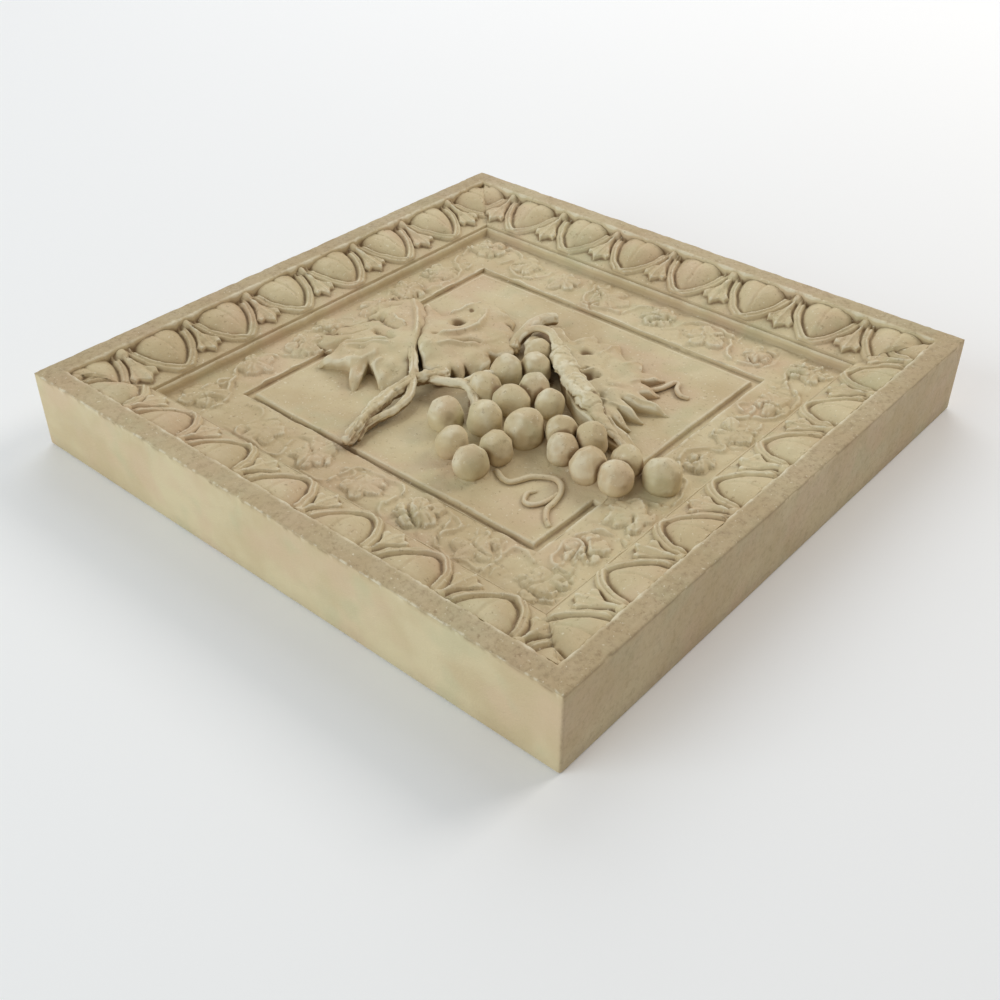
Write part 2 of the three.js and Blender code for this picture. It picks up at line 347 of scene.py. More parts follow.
def body_profile():
    """How far out and how high each ring round the casting is, from its back up and over the rim."""
    reach = [HALF - 6, HALF - 0.7] + [HALF] * 6
    level = [0, 0, 0.7, 8, 15, 22, 29, TOP - 3]
    for n in range(5):
        turn = n / 4 * math.pi / 2
        reach.append(HALF - EDGE_RADIUS + EDGE_RADIUS * math.cos(turn))
        level.append(TOP - EDGE_RADIUS + EDGE_RADIUS * math.sin(turn))
    reach += list(np.linspace(HALF - EDGE_RADIUS - 0.7, RIM_INNER + 0.9, 12))
    level += [TOP] * 12
    reach += [RIM_INNER + 0.3, RIM_INNER, RIM_INNER - 0.2, RIM_INNER - 0.3, RIM_INNER - 0.35]
    level += [TOP - 0.25, TOP - 1.0, TOP - 2.5, TOP - 5.5, UNDER]
    return np.array(reach)[:, None], np.array(level)[:, None]


def worn_side(name, columns):
    """One side of the casting, as if it were the top side, with its chips, pits and unevenness."""
    reach, level = body_profile()
    part = np.linspace(1, -1, columns, endpoint=False)[None, :]
    s, z = reach + 0 * part, level + 0 * part
    x, y = part * s, s
    drop = chips(x, name) * ease(TOP - 6, TOP - 1, z) * ease(RIM_INNER + 3, HALF - 1, s)
    z = z - drop * 0.8 * ease(HALF - 4, HALF - 0.5, s)
    y = y - drop * 0.7 * ease(TOP - 5, TOP - 0.5, z + drop)
    on_rim = (s < HALF - 0.5) & (s > RIM_INNER + 0.2)
    pits = 0.35 * ease(0.45, 0.8, noise(x, y, 0, 1.6, 31)) + 0.25 * ease(0.5, 0.8, noise(x, y, 0, 0.9, 37))
    z = np.where(on_rim, z - pits - 0.12 - 0.12 * noise(x, y, 0, 9, 41), z)
    on_inner_edge = (s < RIM_INNER + 1) & (z > 30)
    y = np.where(on_inner_edge, y + 0.35 * noise(x, 0, 0, 6, 43) + 0.2 * noise(x, 0, 0, 2, 44), y)
    on_side = (z > 1) & (z < TOP - 1) & (s > HALF - 1)
    y = np.where(on_side, y - 0.12 - 0.12 * noise(x, 0, z, 22, 51), y)
    return x, y, z


def casting_body():
    """The plain part of the casting: four worn sides, the back and the rim, with rounded upright corners."""
    sides = []
    for name, quarters, _ in reversed(SIDES):
        x, y, z = worn_side(name, 300)
        sides.append(np.stack([*turned(x, y, quarters), z], -1))
    skin = np.concatenate(sides, 1)
    corner = HALF - CORNER_RADIUS
    over = np.maximum(np.abs(skin[..., :2]) - corner, 0)
    length = np.hypot(over[..., 0], over[..., 1])
    squeeze = np.where(length > CORNER_RADIUS, CORNER_RADIUS / np.maximum(length, 1e-6), 1)[..., None]
    skin[..., :2] = np.sign(skin[..., :2]) * (np.minimum(np.abs(skin[..., :2]), corner) + over * squeeze)
    rows, columns = skin.shape[:2]
    faces = [face[::-1] for face in sheet_faces(rows, columns, wrap=True)]
    faces.append(list(range(columns)))
    faces.append([(rows - 1) * columns + c for c in range(columns)][::-1])
    raise_piece("casting_body", skin.reshape(-1, 3), faces)


# ---- egg and dart ----
# An egg's outline is two arcs of radius EGG_ARC, whose middles lie EGG_SHIFT to either side at the height
# EGG_SHOULDER. DART_HALF is one side of the dart between two eggs. HUSK_RISE is the height of the husk at
# each distance HUSK_REACH from the egg.
EGG_SHOULDER, EGG_ARC, EGG_SHIFT = 26.0, 27.0, 14.8
DART_HALF = (
    (1.2, BAND_LENGTH + 2), (1.1, 20.0), (2.2, 15.5), (4.4, 11.6), (7.2, 8.4), (6.2, 5.4), (3.6, 5.8),
    (1.8, 3.6),
)
HUSK_REACH = (0.0, 0.5, 1.0, 1.5, 2.2, 3.0, 3.7, 4.3, 5.2)
HUSK_RISE = (-0.6, -1.0, 0.7, 2.2, 2.5, 1.5, 2.1, 1.7, 0.0)
MITRE_BLEND = 3.0                  # width over which two sides' ornaments merge at a corner


def band_height(x, v, start, seed):
    """Height of the carved band over its slope, x along it and v up it."""
    bay = np.floor((x - start) / PITCH)
    u_egg = x - start - (bay + 0.5) * PITCH + 0.5 * noise(bay, 0, 0, 1, seed)
    u_dart = np.where(u_egg < 0, u_egg + PITCH / 2, u_egg - PITCH / 2)
    wander = 0.35 * noise(x, v, 0, 5, seed + 7)
    across = np.hypot(u_egg + wander, 0.9)
    depth = EGG_ARC - np.hypot(across + EGG_SHIFT, np.maximum(EGG_SHOULDER - v - wander, 0))
    lift = (4.4 + 0.4 * noise(bay, 3, 0, 1, seed + 3)) * (1 - 0.3 * ease(18, 26, v))
    dome = lift * np.maximum(1 - (1 - np.clip(depth / 9.5, 0, 1)) ** 2.1, 0) ** 0.85
    dome = dome - 0.5 * bump(u_egg - 2.5 + 0.1 * v, 0.7) * ease(2, 5, depth)
    away = -depth
    husk = np.interp(away, HUSK_REACH, HUSK_RISE) * (0.9 + 0.2 * noise(x, v, 0, 4, seed + 5))
    outline = [*DART_HALF, (0, 1.6)] + [(-a, b) for a, b in reversed(DART_HALF)]
    cut = inside(u_dart + wander, v, outline)
    dart = (2.2 + 0.5 * noise(x, v, 0, 3, seed + 11)) * ease(-0.1, 0.9, cut)
    dart = dart + 0.7 * bump(u_dart, 0.7) * ease(0, 1, cut)
    dart = dart - 0.5 * bump(np.abs(u_dart) - 2.6 - 0.1 * (12 - v), 0.7) * ease(0.4, 1.3, cut)
    dart = np.where(cut > -0.2, dart, 0)
    height = np.where(depth > 0, dome, np.maximum(husk, dart))
    tie = 3.4 * np.sqrt(np.maximum(1 - (u_dart / 2.6) ** 2 - ((v - 25.0) / 4.0) ** 2, 0))
    height = np.maximum(height, tie)
    pits = 1.9 * bump(np.hypot((np.abs(u_dart) - 4.6) / 1.7, (v - 24.0) / 1.8), 1)
    crown_pit = 0.4 * bump(np.hypot((u_egg + 2) / 3.4, (v - 25.6) / 0.9), 1)
    return height - pits - crown_pit


def egg_band(order):
    """One side's band of eggs, cut at the mitres and merged there with the bands beside it."""
    name, quarters, start = SIDES[order]
    _, before_quarters, before_start = SIDES[order - 1]
    _, after_quarters, after_start = SIDES[(order + 1) % 4]
    v = np.concatenate([np.linspace(-0.6, 0, 2), np.arange(0.4, BAND_LENGTH + 0.4, 0.42)])[:, None]
    s = BAND_FOOT + v * math.cos(BAND_SLOPE)
    x = np.linspace(1, -1, 600)[None, :] * s
    rise = band_height(x, v, start, 60 + quarters)
    neighbours = ((1, after_quarters, after_start), (-1, before_quarters, before_start))
    for sign, other_quarters, other_start in neighbours:
        apart = s - sign * x
        close = apart < MITRE_BLEND
        along = np.broadcast_to(-sign * s, x.shape)[close]
        other_v = (sign * x[close] - BAND_FOOT) / math.cos(BAND_SLOPE)
        share = 0.5 - 0.5 * ease(0, MITRE_BLEND, apart[close])
        other = band_height(along, other_v, other_start, 60 + other_quarters)
        rise[close] = rise[close] * (1 - share) + other * share
    rise = rise + 0.16 * layered(*turned(x, s + 0 * x, quarters), 0, 5, 70) + 0.08 * noise(x, v, 0, 0.9, 77)
    rise = rise * ease(-0.2, 0.8, v) - 0.2
    y = s - rise * math.sin(BAND_SLOPE)
    z = BAND_FOOT_HEIGHT + v * math.sin(BAND_SLOPE) + rise * math.cos(BAND_SLOPE)
    x = np.clip(x, -y, y)
    z = np.minimum(z, TOP - 0.15)
    x, y = turned(x, y, quarters)
    block("egg_band_" + name, x, y, z)


# ---- vine band ----
def vine_leaf(x, y, place, size, lean):
    """A worn five-lobed vine leaf: a low swelling with sunk veins and a cut outline."""
    dx, dy = x - place[0], y - place[1]
    turn = np.arctan2(dy, dx) - lean
    reach = np.hypot(dx, dy) / size
    lobes = 0.64 + 0.36 * np.abs(np.cos(2.5 * turn)) ** 0.8 + 0.03 * np.cos(13 * turn + 2 * lean)
    depth = (lobes - reach) * size
    rise = 1.5 * ease(-0.1, 0.8, depth) + 0.9 * ease(1, size * 0.6, depth)
    vein = np.abs(np.sin(2.5 * turn)) * reach * size
    trench = 0.9 * bump(depth + 0.7, 0.6)
    return rise - 0.65 * bump(vein, 0.6) * ease(0.5, 2, depth) - trench


def crumpled(x, y):
    """Worn, half-legible carving: soft swellings with broken creases between them."""
    swell = 0.55 * noise(x, y, 0, 8, 611) + 0.14 * noise(x, y, 0, 3.2, 613)
    creases = bump(noise(x, y, 0, 12, 617), 0.05) * ease(0.0, 0.5, noise(x, y, 0, 13, 619))
    return swell - 0.9 * creases


def stroke(x, y, points, height, width):
    """A raised or sunk line that thins out at both ends."""
    distance, along = near_line(x, y, points)
    strength = 0.35 + 0.65 * np.sin(np.pi * np.clip(along, 0.04, 0.96)) ** 0.5
    return height * bump(distance, width) * strength


def curl(x, y, radius, start, turns):
    """Points of a spiral that winds in towards its middle."""
    part = np.linspace(0, 1, int(10 * turns) + 2)
    angle, reach = start + turns * 2 * math.pi * part, radius * (1 - 0.72 * part)
    return np.stack([x + reach * np.cos(angle), y + reach * np.sin(angle)], 1).tolist()


# Leaves (x, y, size, lean), raised strokes, curls (x, y, radius, start, turns), cuts and drilled pits.
VINE_LEAVES = (
    (-100, 100, 11, 0.3), (-66, 103, 10, 1.2), (-38, 99, 11, 2.5), (-18, 106, 8, 0.4), (12, 100, 10, 1.9),
    (36, 101, 10, 3.6), (62, 102, 10, 0.9), (101, 101, 11, 2.2), (99, 72, 10, 0.2), (97, 44, 10, 2.8),
    (98, 14, 11, 1.1), (99, -16, 10, 3.0), (97, -46, 11, 0.5), (100, -74, 9, 1.7), (101, -101, 10, 2.4),
    (66, -102, 10, 0.8), (34, -101, 10, 2.0), (6, -102, 8, 0.1), (-44, -102, 11, 1.4),
    (-73, -101, 10, 2.9), (-101, -101, 11, 0.6), (-100, -68, 10, 1.8), (-99, -36, 11, 3.2),
    (-101, -6, 10, 0.9), (-99, 27, 11, 2.1), (-101, 56, 10, 0.4),
)
VINE_STEMS = (
    ((-112, 92), (-100, 88), (-88, 96), (-76, 107), (-62, 108), (-50, 98), (-40, 93)),
    ((-28, 110), (-14, 100), (0, 94), (14, 92), (24, 97), (25, 105), (34, 110)),
    ((44, 94), (54, 92), (72, 96), (80, 107), (92, 110)),
    ((109, 92), (106, 82), (91, 78), (88, 66), (96, 58), (108, 55)),
    ((109, 38), (104, 28), (91, 26), (87, 16), (90, 2), (103, -2), (109, -12)),
    ((91, -24), (103, -30), (109, -40), (106, -56), (92, -60), (88, -70), (94, -84), (108, -80)),
    ((112, -92), (94, -93), (84, -100), (76, -110), (58, -110), (50, -98), (40, -92)),
    ((26, -110), (18, -98), (8, -92), (-4, -98), (-12, -108), (-28, -110), (-34, -98), (-46, -92)),
    ((-58, -110), (-60, -98), (-72, -92), (-86, -96), (-90, -108)),
    ((-92, -92), (-90, -80), (-108, -78), (-110, -66), (-108, -54), (-92, -52), (-90, -42)),
    ((-110, -26), (-104, -20), (-92, -22), (-90, -8), (-92, 6), (-108, 10), (-110, 22)),
    ((-90, 36), (-98, 42), (-109, 40), (-110, 54), (-108, 66), (-92, 68), (-91, 80)),
)
VINE_CURLS = (
    (55, -95, 5, 0.5, 1.2), (78, 98, 4.5, 2.0, 1.1), (88, 20, 4.5, 1.0, 1.3), (-98, 8, 5, 3.0, 1.1),
    (98, -80, 4.5, 0.0, 1.1), (-90, -64, 4, 1.5, 1.1), (-20, -96, 4.5, 4.0, 1.1), (-86, 103, 4, 5.0, 1.1),
    (22, -103, 4, 2.2, 1.0), (108, 24, 4, 0.8, 1.0),
)
VINE_CUTS = (
    ((-53, 104), (-52, 96)),
    ((-23, 104), (-21, 101), (-23, 98)),
    ((25, 105), (23, 101), (24, 97)),
    ((45, 105), (46, 98)),
    ((85, 109), (85, 105)),
    ((-34, 93), (-34, 90)),
    ((78, 103), (82, 99)),
    ((33, 91), (36, 95)),
    ((5, 108), (9, 103)),
    ((-112, 87), (-105, 87)),
    ((-97, 45), (-93, 35)),
    ((-112, 6), (-104, 12), (-97, 10)),
    ((-92, 62), (-92, 57)),
    ((-96, -25), (-101, -33), (-111, -43)),
    ((-98, -49), (-108, -55)),
    ((-96, -71), (-99, -76)),
    ((-112, -82), (-107, -81)),
    ((-103, -86), (-99, -87), (-95, -90)),
    ((-104, -90), (-109, -95)),
    ((-107, -103), (-104, -110), (-99, -111)),
    ((-70, -92), (-71, -100), (-75, -105), (-81, -107)),
    ((-95, -106), (-84, -105), (-82, -101), (-74, -98)),
    ((-63, -100), (-59, -105), (-54, -106)),
    ((-64, -93), (-62, -97)),
    ((-57, -97), (-53, -99)),
    ((-34, -102), (-38, -107)),
    ((-47, -104), (-43, -102)),
    ((-3, -101), (0, -107)),
    ((1, -94), (3, -99), (6, -101.5), (10, -99)),
    ((12, -104), (18, -107)),
    ((32, -90), (35, -95), (35, -99)),
    ((50, -93), (52, -97)),
    ((54, -92), (57, -94)),
    ((46, -102), (55, -99), (64, -98), (66, -103)),
    ((74, -97), (79, -93)),
    ((68, -110), (80, -104), (86, -99)),
    ((103, -100), (110, -101), (112, -107)),
    ((94, -17), (98, -20), (101, -21)),
    ((100, -10), (107, -12)),
    ((88, -35), (97, -31)),
    ((99, -50), (104, -53)),
    ((85, -67), (92, -65), (107, -61)),
    ((95, -71), (90, -76)),
    ((88, -79), (95, -82), (103, -80), (105, -74)),
    ((84, 16), (88, 20), (92, 17)),
    ((96, 77), (98, 73)),
)
SCRATCHES = 150                    # small ones, spread evenly over the band
VINE_PITS = (
    (-89, 111), (-61, 113), (-57, 109), (-14, 111), (-12, 100), (14, 107), (38, 108), (80, 97), (110, 65),
    (102, 24), (92, -16), (105, -57), (109, -79), (84, -94), (-28, -109.5), (-30, -106), (-61, -110.5),
    (-111, -98), (-97, -18), (-107, 62), (-95, -40), (92, 50), (-44, 92), (65, -100), (33, -93),
)


def scratch(n):
    """One small scratch or ridge on the vine band: its middle, reach, points, height and width."""
    side, run, out, lean, size, bend = (lattice(n, k, 0, 650) for k in range(6))
    x, y = turned(112 * run, 101 + 9 * out, int(2 * side + 2))
    lean, size = lean * math.pi, 3.2 + 1.8 * size
    dx, dy = size * math.cos(lean), size * math.sin(lean)
    points = [(x - dx, y - dy), (x - bend * dy * 0.4, y + bend * dx * 0.4), (x + dx, y + dy)]
    return (x, y), size + 3, points, -1.5 if n % 3 else 1.1, 0.55


def vine_ornament(x, y):
    """Height of the worn vine over its ground: leaves, stems and curls, then cuts, scratches and pits."""
    height = np.zeros(np.shape(x))
    x, y = (x + 1.5 * noise(x, y, 0, 8, 631) + 0.7 * noise(x, y, 0, 3.4, 633),
            y + 1.5 * noise(x, y, 0, 8, 637) + 0.7 * noise(x, y, 0, 3.4, 639))
    for px, py, size, lean in VINE_LEAVES:
        close = np.hypot(x - px, y - py) < size * 1.25
        leaf = vine_leaf(x[close], y[close], (px, py), size, lean)
        raised = np.maximum(height[close], leaf)
        height[close] = np.where(raised <= 0, np.minimum(raised, leaf), raised)
    lines = [(curve_through(stem, 6).tolist(), 1.6, 1.1) for stem in VINE_STEMS]
    lines += [(curl(*numbers), 1.5, 0.9) for numbers in VINE_CURLS]
    for points, rise, width in lines:
        (left, bottom), (right, top) = np.min(points, axis=0) - 4, np.max(points, axis=0) + 4
        close = (x > left) & (x < right) & (y > bottom) & (y < top)
        height[close] = np.maximum(height[close], stroke(x[close], y[close], points, rise, width))
    marks = [(np.mean(points, axis=0), 14, points, -2.6, 0.75) for points in VINE_CUTS]
    marks += [scratch(n) for n in range(SCRATCHES)]
    for (px, py), reach, points, rise, width in marks:
        close = np.hypot(x - px, y - py) < reach
        height[close] += stroke(x[close], y[close], points, rise, width)
    for px, py in VINE_PITS:
        height -= 2.4 * bump(np.hypot(x - px, (y - py) * 1.3), 0.95)
    return height


def foot_profile(s):
    """The step up from the vine band to the egg band, with its two small fillets."""
    return np.interp(s, (113.0, 113.8, 114.2, 114.6, 115.0, 115.5, 115.9, 116.3, 116.7, 117.3),
                     (GROUND, GROUND + 0.3, 24.4, 25.9, 26.5, 26.5, 25.9, 25.9, 27.2, 27.7))


def spread_lines(start, end, step, sharp):
    """Grid lines from start to end, with close ones wherever the surface has a sharp edge."""
    lines = list(np.linspace(start, end, int(abs(end - start) / step) + 1))
    for place in sharp:
        lines += [place + d for d in (-0.35, -0.15, 0, 0.15, 0.35)]
    lines = sorted(line for line in lines if start <= line <= end)
    kept = [lines[0]]
    for line in lines[1:]:
        if line - kept[-1] > 0.07:
            kept.append(line)
    kept[-1] = end
    return np.array(kept)


FOOT_EDGES = (113.9, 114.5, 115.1, 115.8, 116.5)


def band_lines(first, last):
    """Grid lines across the vine band, which run through the edges first and last of its opening."""
    sharp = [f * e for f in (-1, 1) for e in FOOT_EDGES]
    lines = spread_lines(-BAND_FOOT - 0.3, BAND_FOOT + 0.3, 0.7, sharp)
    lines = lines[(np.abs(lines - first) > 0.2) & (np.abs(lines - last) > 0.2)]
    return np.sort(np.concatenate([lines, [first, last]]))


def vine_height(x, y):
    """Height of the vine band: ground, ornament, the bed under the last grapes and the step at the foot."""
    wobble = 0.25 * noise(x, y, 0, 8, 81) + 0.12 * noise(x, y, 0, 2.5, 82)
    s = np.maximum(np.abs(x), np.abs(y)) + wobble
    worn = 0.72 + 0.28 * noise(x, y, 0, 14, 83)
    flat = 1 - ease(111.5, 113.5, s)
    rough = 0.2 * layered(x, y, 0, 7, 84) + 0.08 * noise(x, y, 0, 1.1, 85)
    z = GROUND + rough + (1.35 * vine_ornament(x, y) * worn + 1.2 * crumpled(x, y)) * flat
    z = np.maximum(z, GROUND + bunch_bed(x, y) - 0.3)
    return np.where(s > 113, foot_profile(s) + rough * (1 - ease(113, 114.2, s)), z)


def vine_band():
    """The band between the panel and the eggs: one sheet with an opening, its walls and its underside."""
    low_x, high_x, low_y, high_y = (sign * GROOVE_OUTER[side] for sign, side in
                                    ((-1, "left"), (1, "right"), (-1, "bottom"), (1, "top")))
    xs, ys = band_lines(low_x, high_x), band_lines(low_y, high_y)
    left, right = (int(np.abs(xs - edge).argmin()) for edge in (low_x, high_x))
    bottom, top = (int(np.abs(ys - edge).argmin()) for edge in (low_y, high_y))
    x, y = np.meshgrid(xs, ys)
    rows, columns = x.shape
    r, c = np.meshgrid(np.arange(rows - 1), np.arange(columns - 1), indexing="ij")
    opening = (r >= bottom) & (r < top) & (c >= left) & (c < right)
    sheet = np.array(sheet_faces(rows, columns))[~opening.ravel()]
    used = np.unique(sheet)
    number = np.full(rows * columns, -1)
    number[used] = np.arange(len(used))
    x, y = x.ravel()[used], y.ravel()[used]
    points = [np.stack([x, y, vine_height(x, y)], 1)]
    faces = number[sheet].tolist()
    flat_from = len(faces)
    grid = number.reshape(rows, columns)
    rings = []
    for part, turn in ((grid, 1), (grid[bottom:top + 1, left:right + 1], -1)):
        sides = [part[0, :-1], part[:-1, -1], part[-1, :0:-1], part[:0:-1, 0]]
        ring = np.concatenate(sides).tolist()
        first_foot = sum(len(group) for group in points)
        feet = points[0][ring]
        feet[:, 2] = UNDER
        points.append(feet)
        faces += [face[::turn] for face in wall_faces(ring, first_foot)]
        corners = np.cumsum([0] + [len(side) for side in sides])
        rings.append(([*range(first_foot, first_foot + len(ring)), first_foot], corners))
    (outer_feet, a), (inner_feet, b) = rings
    for n in range(4):
        under = outer_feet[a[n]:a[n + 1] + 1] + inner_feet[b[n]:b[n + 1] + 1][::-1]
        faces.append(under[::-1])
    raise_piece("vine_band", np.vstack(points), faces, flat_from)


# ---- panel ----
def bunch_bed(x, y):
    """The mound that the grapes stand on: it fills the gaps between them."""
    cover = np.zeros(np.shape(x))
    for gx, gy, _, radius in GRAPES:
        cover += bump(np.hypot(x - gx, y - gy), 0.98 * radius)
    return 6.2 * ease(0.44, 0.85, cover) + 0.7 * ease(0.12, 0.42, cover)


def panel():
    """The sunk middle: its ground, the groove and lip round it, and the bed under the grapes."""
    inner, outer = GROOVE_INNER, GROOVE_OUTER

    def lines(low_side, high_side):
        start, end = -outer[low_side], outer[high_side]
        return spread_lines(start - 0.4, end + 0.4, 0.75, (start, -inner[low_side], inner[high_side], end))

    x, y = np.meshgrid(lines("left", "right")[::-1], lines("bottom", "top"))
    sway_x = 0.3 * noise(0 * x, y, 0, 16, 91) + 0.12 * noise(0 * x, y, 0, 3.5, 92)
    sway_y = 0.3 * noise(x, 0 * y, 0, 16, 93) + 0.12 * noise(x, 0 * y, 0, 3.5, 94)

    def beyond(edges):
        """How far each place is outside the four edges, which sway a little; below 0 within them."""
        return np.maximum(np.maximum(x + sway_x - edges["right"], -x + sway_x - edges["left"]),
                          np.maximum(y + sway_y - edges["top"], -y + sway_y - edges["bottom"]))

    sunk = ease(-0.35, 0.35, beyond(inner)) * (1 - ease(-0.35, 0.3, beyond(outer)))
    lip = 0.35 * bump(beyond(inner) + 1.0, 0.8)
    z = GROUND - 0.1 + lip - GROOVE_DEPTH * sunk
    z = z + 0.14 * layered(x, y, 0, 24, 95) + 0.05 * noise(x, y, 0, 3, 97)
    bed = bunch_bed(x, y)
    z = np.where(bed > 0.01, np.maximum(z, GROUND - 0.1 + bed), z)
    block("panel", x, y, z)


# ---- leaves ----
def ridge(x, y, points, height, width):
    """A raised line that starts sharply and fades towards its end."""
    distance, along = near_line(x, y, points)
    return height * bump(distance, width) * ease(-0.02, 0.12, along) * (1 - 0.6 * ease(0.6, 1.0, along))


LEFT_LEAF = (
    (-13, 46.5), (-18, 41.5), (-23, 37.5), (-28, 35.8), (-34, 37), (-40, 39.5), (-43.5, 41.5),
    (-42.5, 44.5), (-39.5, 49), (-37, 53.5), (-36, 57), (-39.5, 56), (-44, 53.5), (-49, 51),
    (-52.5, 50.8), (-52.5, 53), (-49, 57), (-45, 60.5), (-42, 63), (-42, 67), (-44, 72), (-47, 77),
    (-50.8, 82), (-45, 81), (-39, 80.5), (-33, 83), (-36, 89), (-37, 95), (-31, 97), (-25, 104),
    (-22, 97), (-17, 98.5), (-13, 97), (-8, 92), (-2, 90), (-1, 98), (5, 95), (10, 98), (15, 103),
    (24, 105), (22, 98), (24, 94), (28, 90), (25, 79), (15, 66), (4, 58), (-7, 51),
)
LEFT_HEIGHTS = (
    (-13, 48, 33.5), (-19, 45, 32), (-26, 42, 29.5), (-36, 41, 26), (-42, 41, 23.4), (-38, 47, 28.5),
    (-30, 48, 31), (-36, 55, 30.5), (-44, 54.5, 28), (-52, 51.5, 23.2), (-45, 60, 29), (-42, 64, 30),
    (-44, 72, 27.5), (-50, 81, 23.6), (-40, 79, 27), (-34, 72, 31), (-28, 60, 33.5), (-20, 56, 34),
    (-28, 81, 28), (-33, 84, 26), (-36, 93, 24), (-25, 101, 23.4), (-16, 95, 24.6), (-8, 89, 26),
    (-14, 76, 29), (-1, 90, 25.6), (0, 97, 24), (12, 98, 24.4), (23, 104, 23.2), (26, 90, 26),
    (20, 82, 29), (10, 85, 27.5), (5, 78, 29), (-3, 64, 31.5), (14, 67, 30), (4, 59, 32), (-7, 52, 33.5),
    (-15, 62, 32.5),
)
MIDDLE_LEAF = (
    (29, 80), (25, 72), (26, 66), (31, 61.5), (38, 60), (46, 61), (50, 59), (52, 53), (53, 48), (47, 43),
    (47, 36), (42, 33), (36, 31), (38, 25), (30, 20), (24, 17), (18, 13), (12, 15), (7, 20), (4, 15),
    (-1, 14), (-4, 14.5), (-8, 16), (-7.5, 22), (-10, 19), (-16, 17), (-14, 24), (-17, 22), (-22, 22),
    (-20, 27), (-24, 29), (-24, 33), (-20, 37), (-17, 42), (-12, 48), (-4, 54), (6, 62), (16, 70),
    (24, 78),
)
MIDDLE_HEIGHTS = (
    (-12, 42, 34.8), (-16, 38, 33.8), (-4, 38, 33), (-20, 30, 31), (-14, 25, 30.5), (-16, 17.5, 25),
    (-8, 23, 30), (-8, 16, 25), (0, 24, 31), (0, 15, 29), (6, 21, 30), (12, 15, 28.5), (20, 18, 28),
    (10, 32, 31.5), (25, 28, 28.5), (31, 21, 26), (38, 25, 24), (36, 32, 27), (42, 33, 24.5),
    (47, 36, 24), (46, 43, 27), (53, 48, 24), (50, 58, 25), (45, 60, 27), (38, 59, 28), (30, 61, 27),
    (26, 66, 25), (25, 72, 27), (28, 79, 27.5), (20, 72, 29.5), (8, 62, 31), (-4, 54, 33), (10, 50, 31),
    (20, 45, 30.5), (30, 50, 29), (-8, 47, 34),
)
RIGHT_LEAF = (
    (24, 12), (30, 13), (37, 13), (46, 14), (54, 13), (51, 8), (47, 4), (46, -1), (53, -2), (63, -1.5),
    (60, -6), (55, -10), (58, -14), (63, -17.5), (58, -22), (53, -26), (50, -31), (57, -35.5),
    (51, -39.5), (45, -43), (50, -49), (51, -54), (43, -51), (36, -48), (38, -54), (38, -60), (33, -57),
    (28, -53), (27, -62), (27, -74), (23, -66), (19, -57), (17, -50.5), (15.5, -58), (14, -68), (11, -61),
    (10, -54), (7.5, -59), (5, -67), (3, -62), (1, -57), (-2, -66), (-4, -79), (-9, -77), (-14, -76),
    (-13, -68), (-11, -58), (-8, -48), (-3, -39), (4, -29), (11, -21), (19, -13), (25, -6), (28, 0),
    (27, 6),
)
RIGHT_HEIGHTS = (
    (30, 12, 31), (37, 12, 30.5), (46, 13, 28.5), (54, 13, 26.5), (44, 3, 28.5), (47, -1, 27),
    (62, -1.5, 23.8), (56, -9, 25), (50, -14, 26.5), (40, -10, 29), (34, -18, 30), (42, -22, 28.5),
    (52, -20, 26.5), (62, -18, 23.8), (57, -23, 24.2), (50, -31, 25.5), (42, -34, 28), (57, -35.5, 23.4),
    (46, -42, 26), (36, -44, 28.5), (51, -53, 23.2), (42, -50, 26), (38, -59, 23.6), (31, -54, 27.5),
    (22, -44, 30.3), (27, -73, 23), (24, -62, 26.8), (18, -52, 29.5), (14, -67, 23.8), (12, -56, 28.8),
    (5, -66, 24.5), (2, -56, 30), (-4, -78, 23.5), (-4, -66, 28), (-13, -75, 28), (-8, -50, 32),
    (2, -36, 32), (12, -22, 32), (22, -10, 32), (28, 0, 31.5), (24, -30, 30.8), (32, -8, 31.2),
)


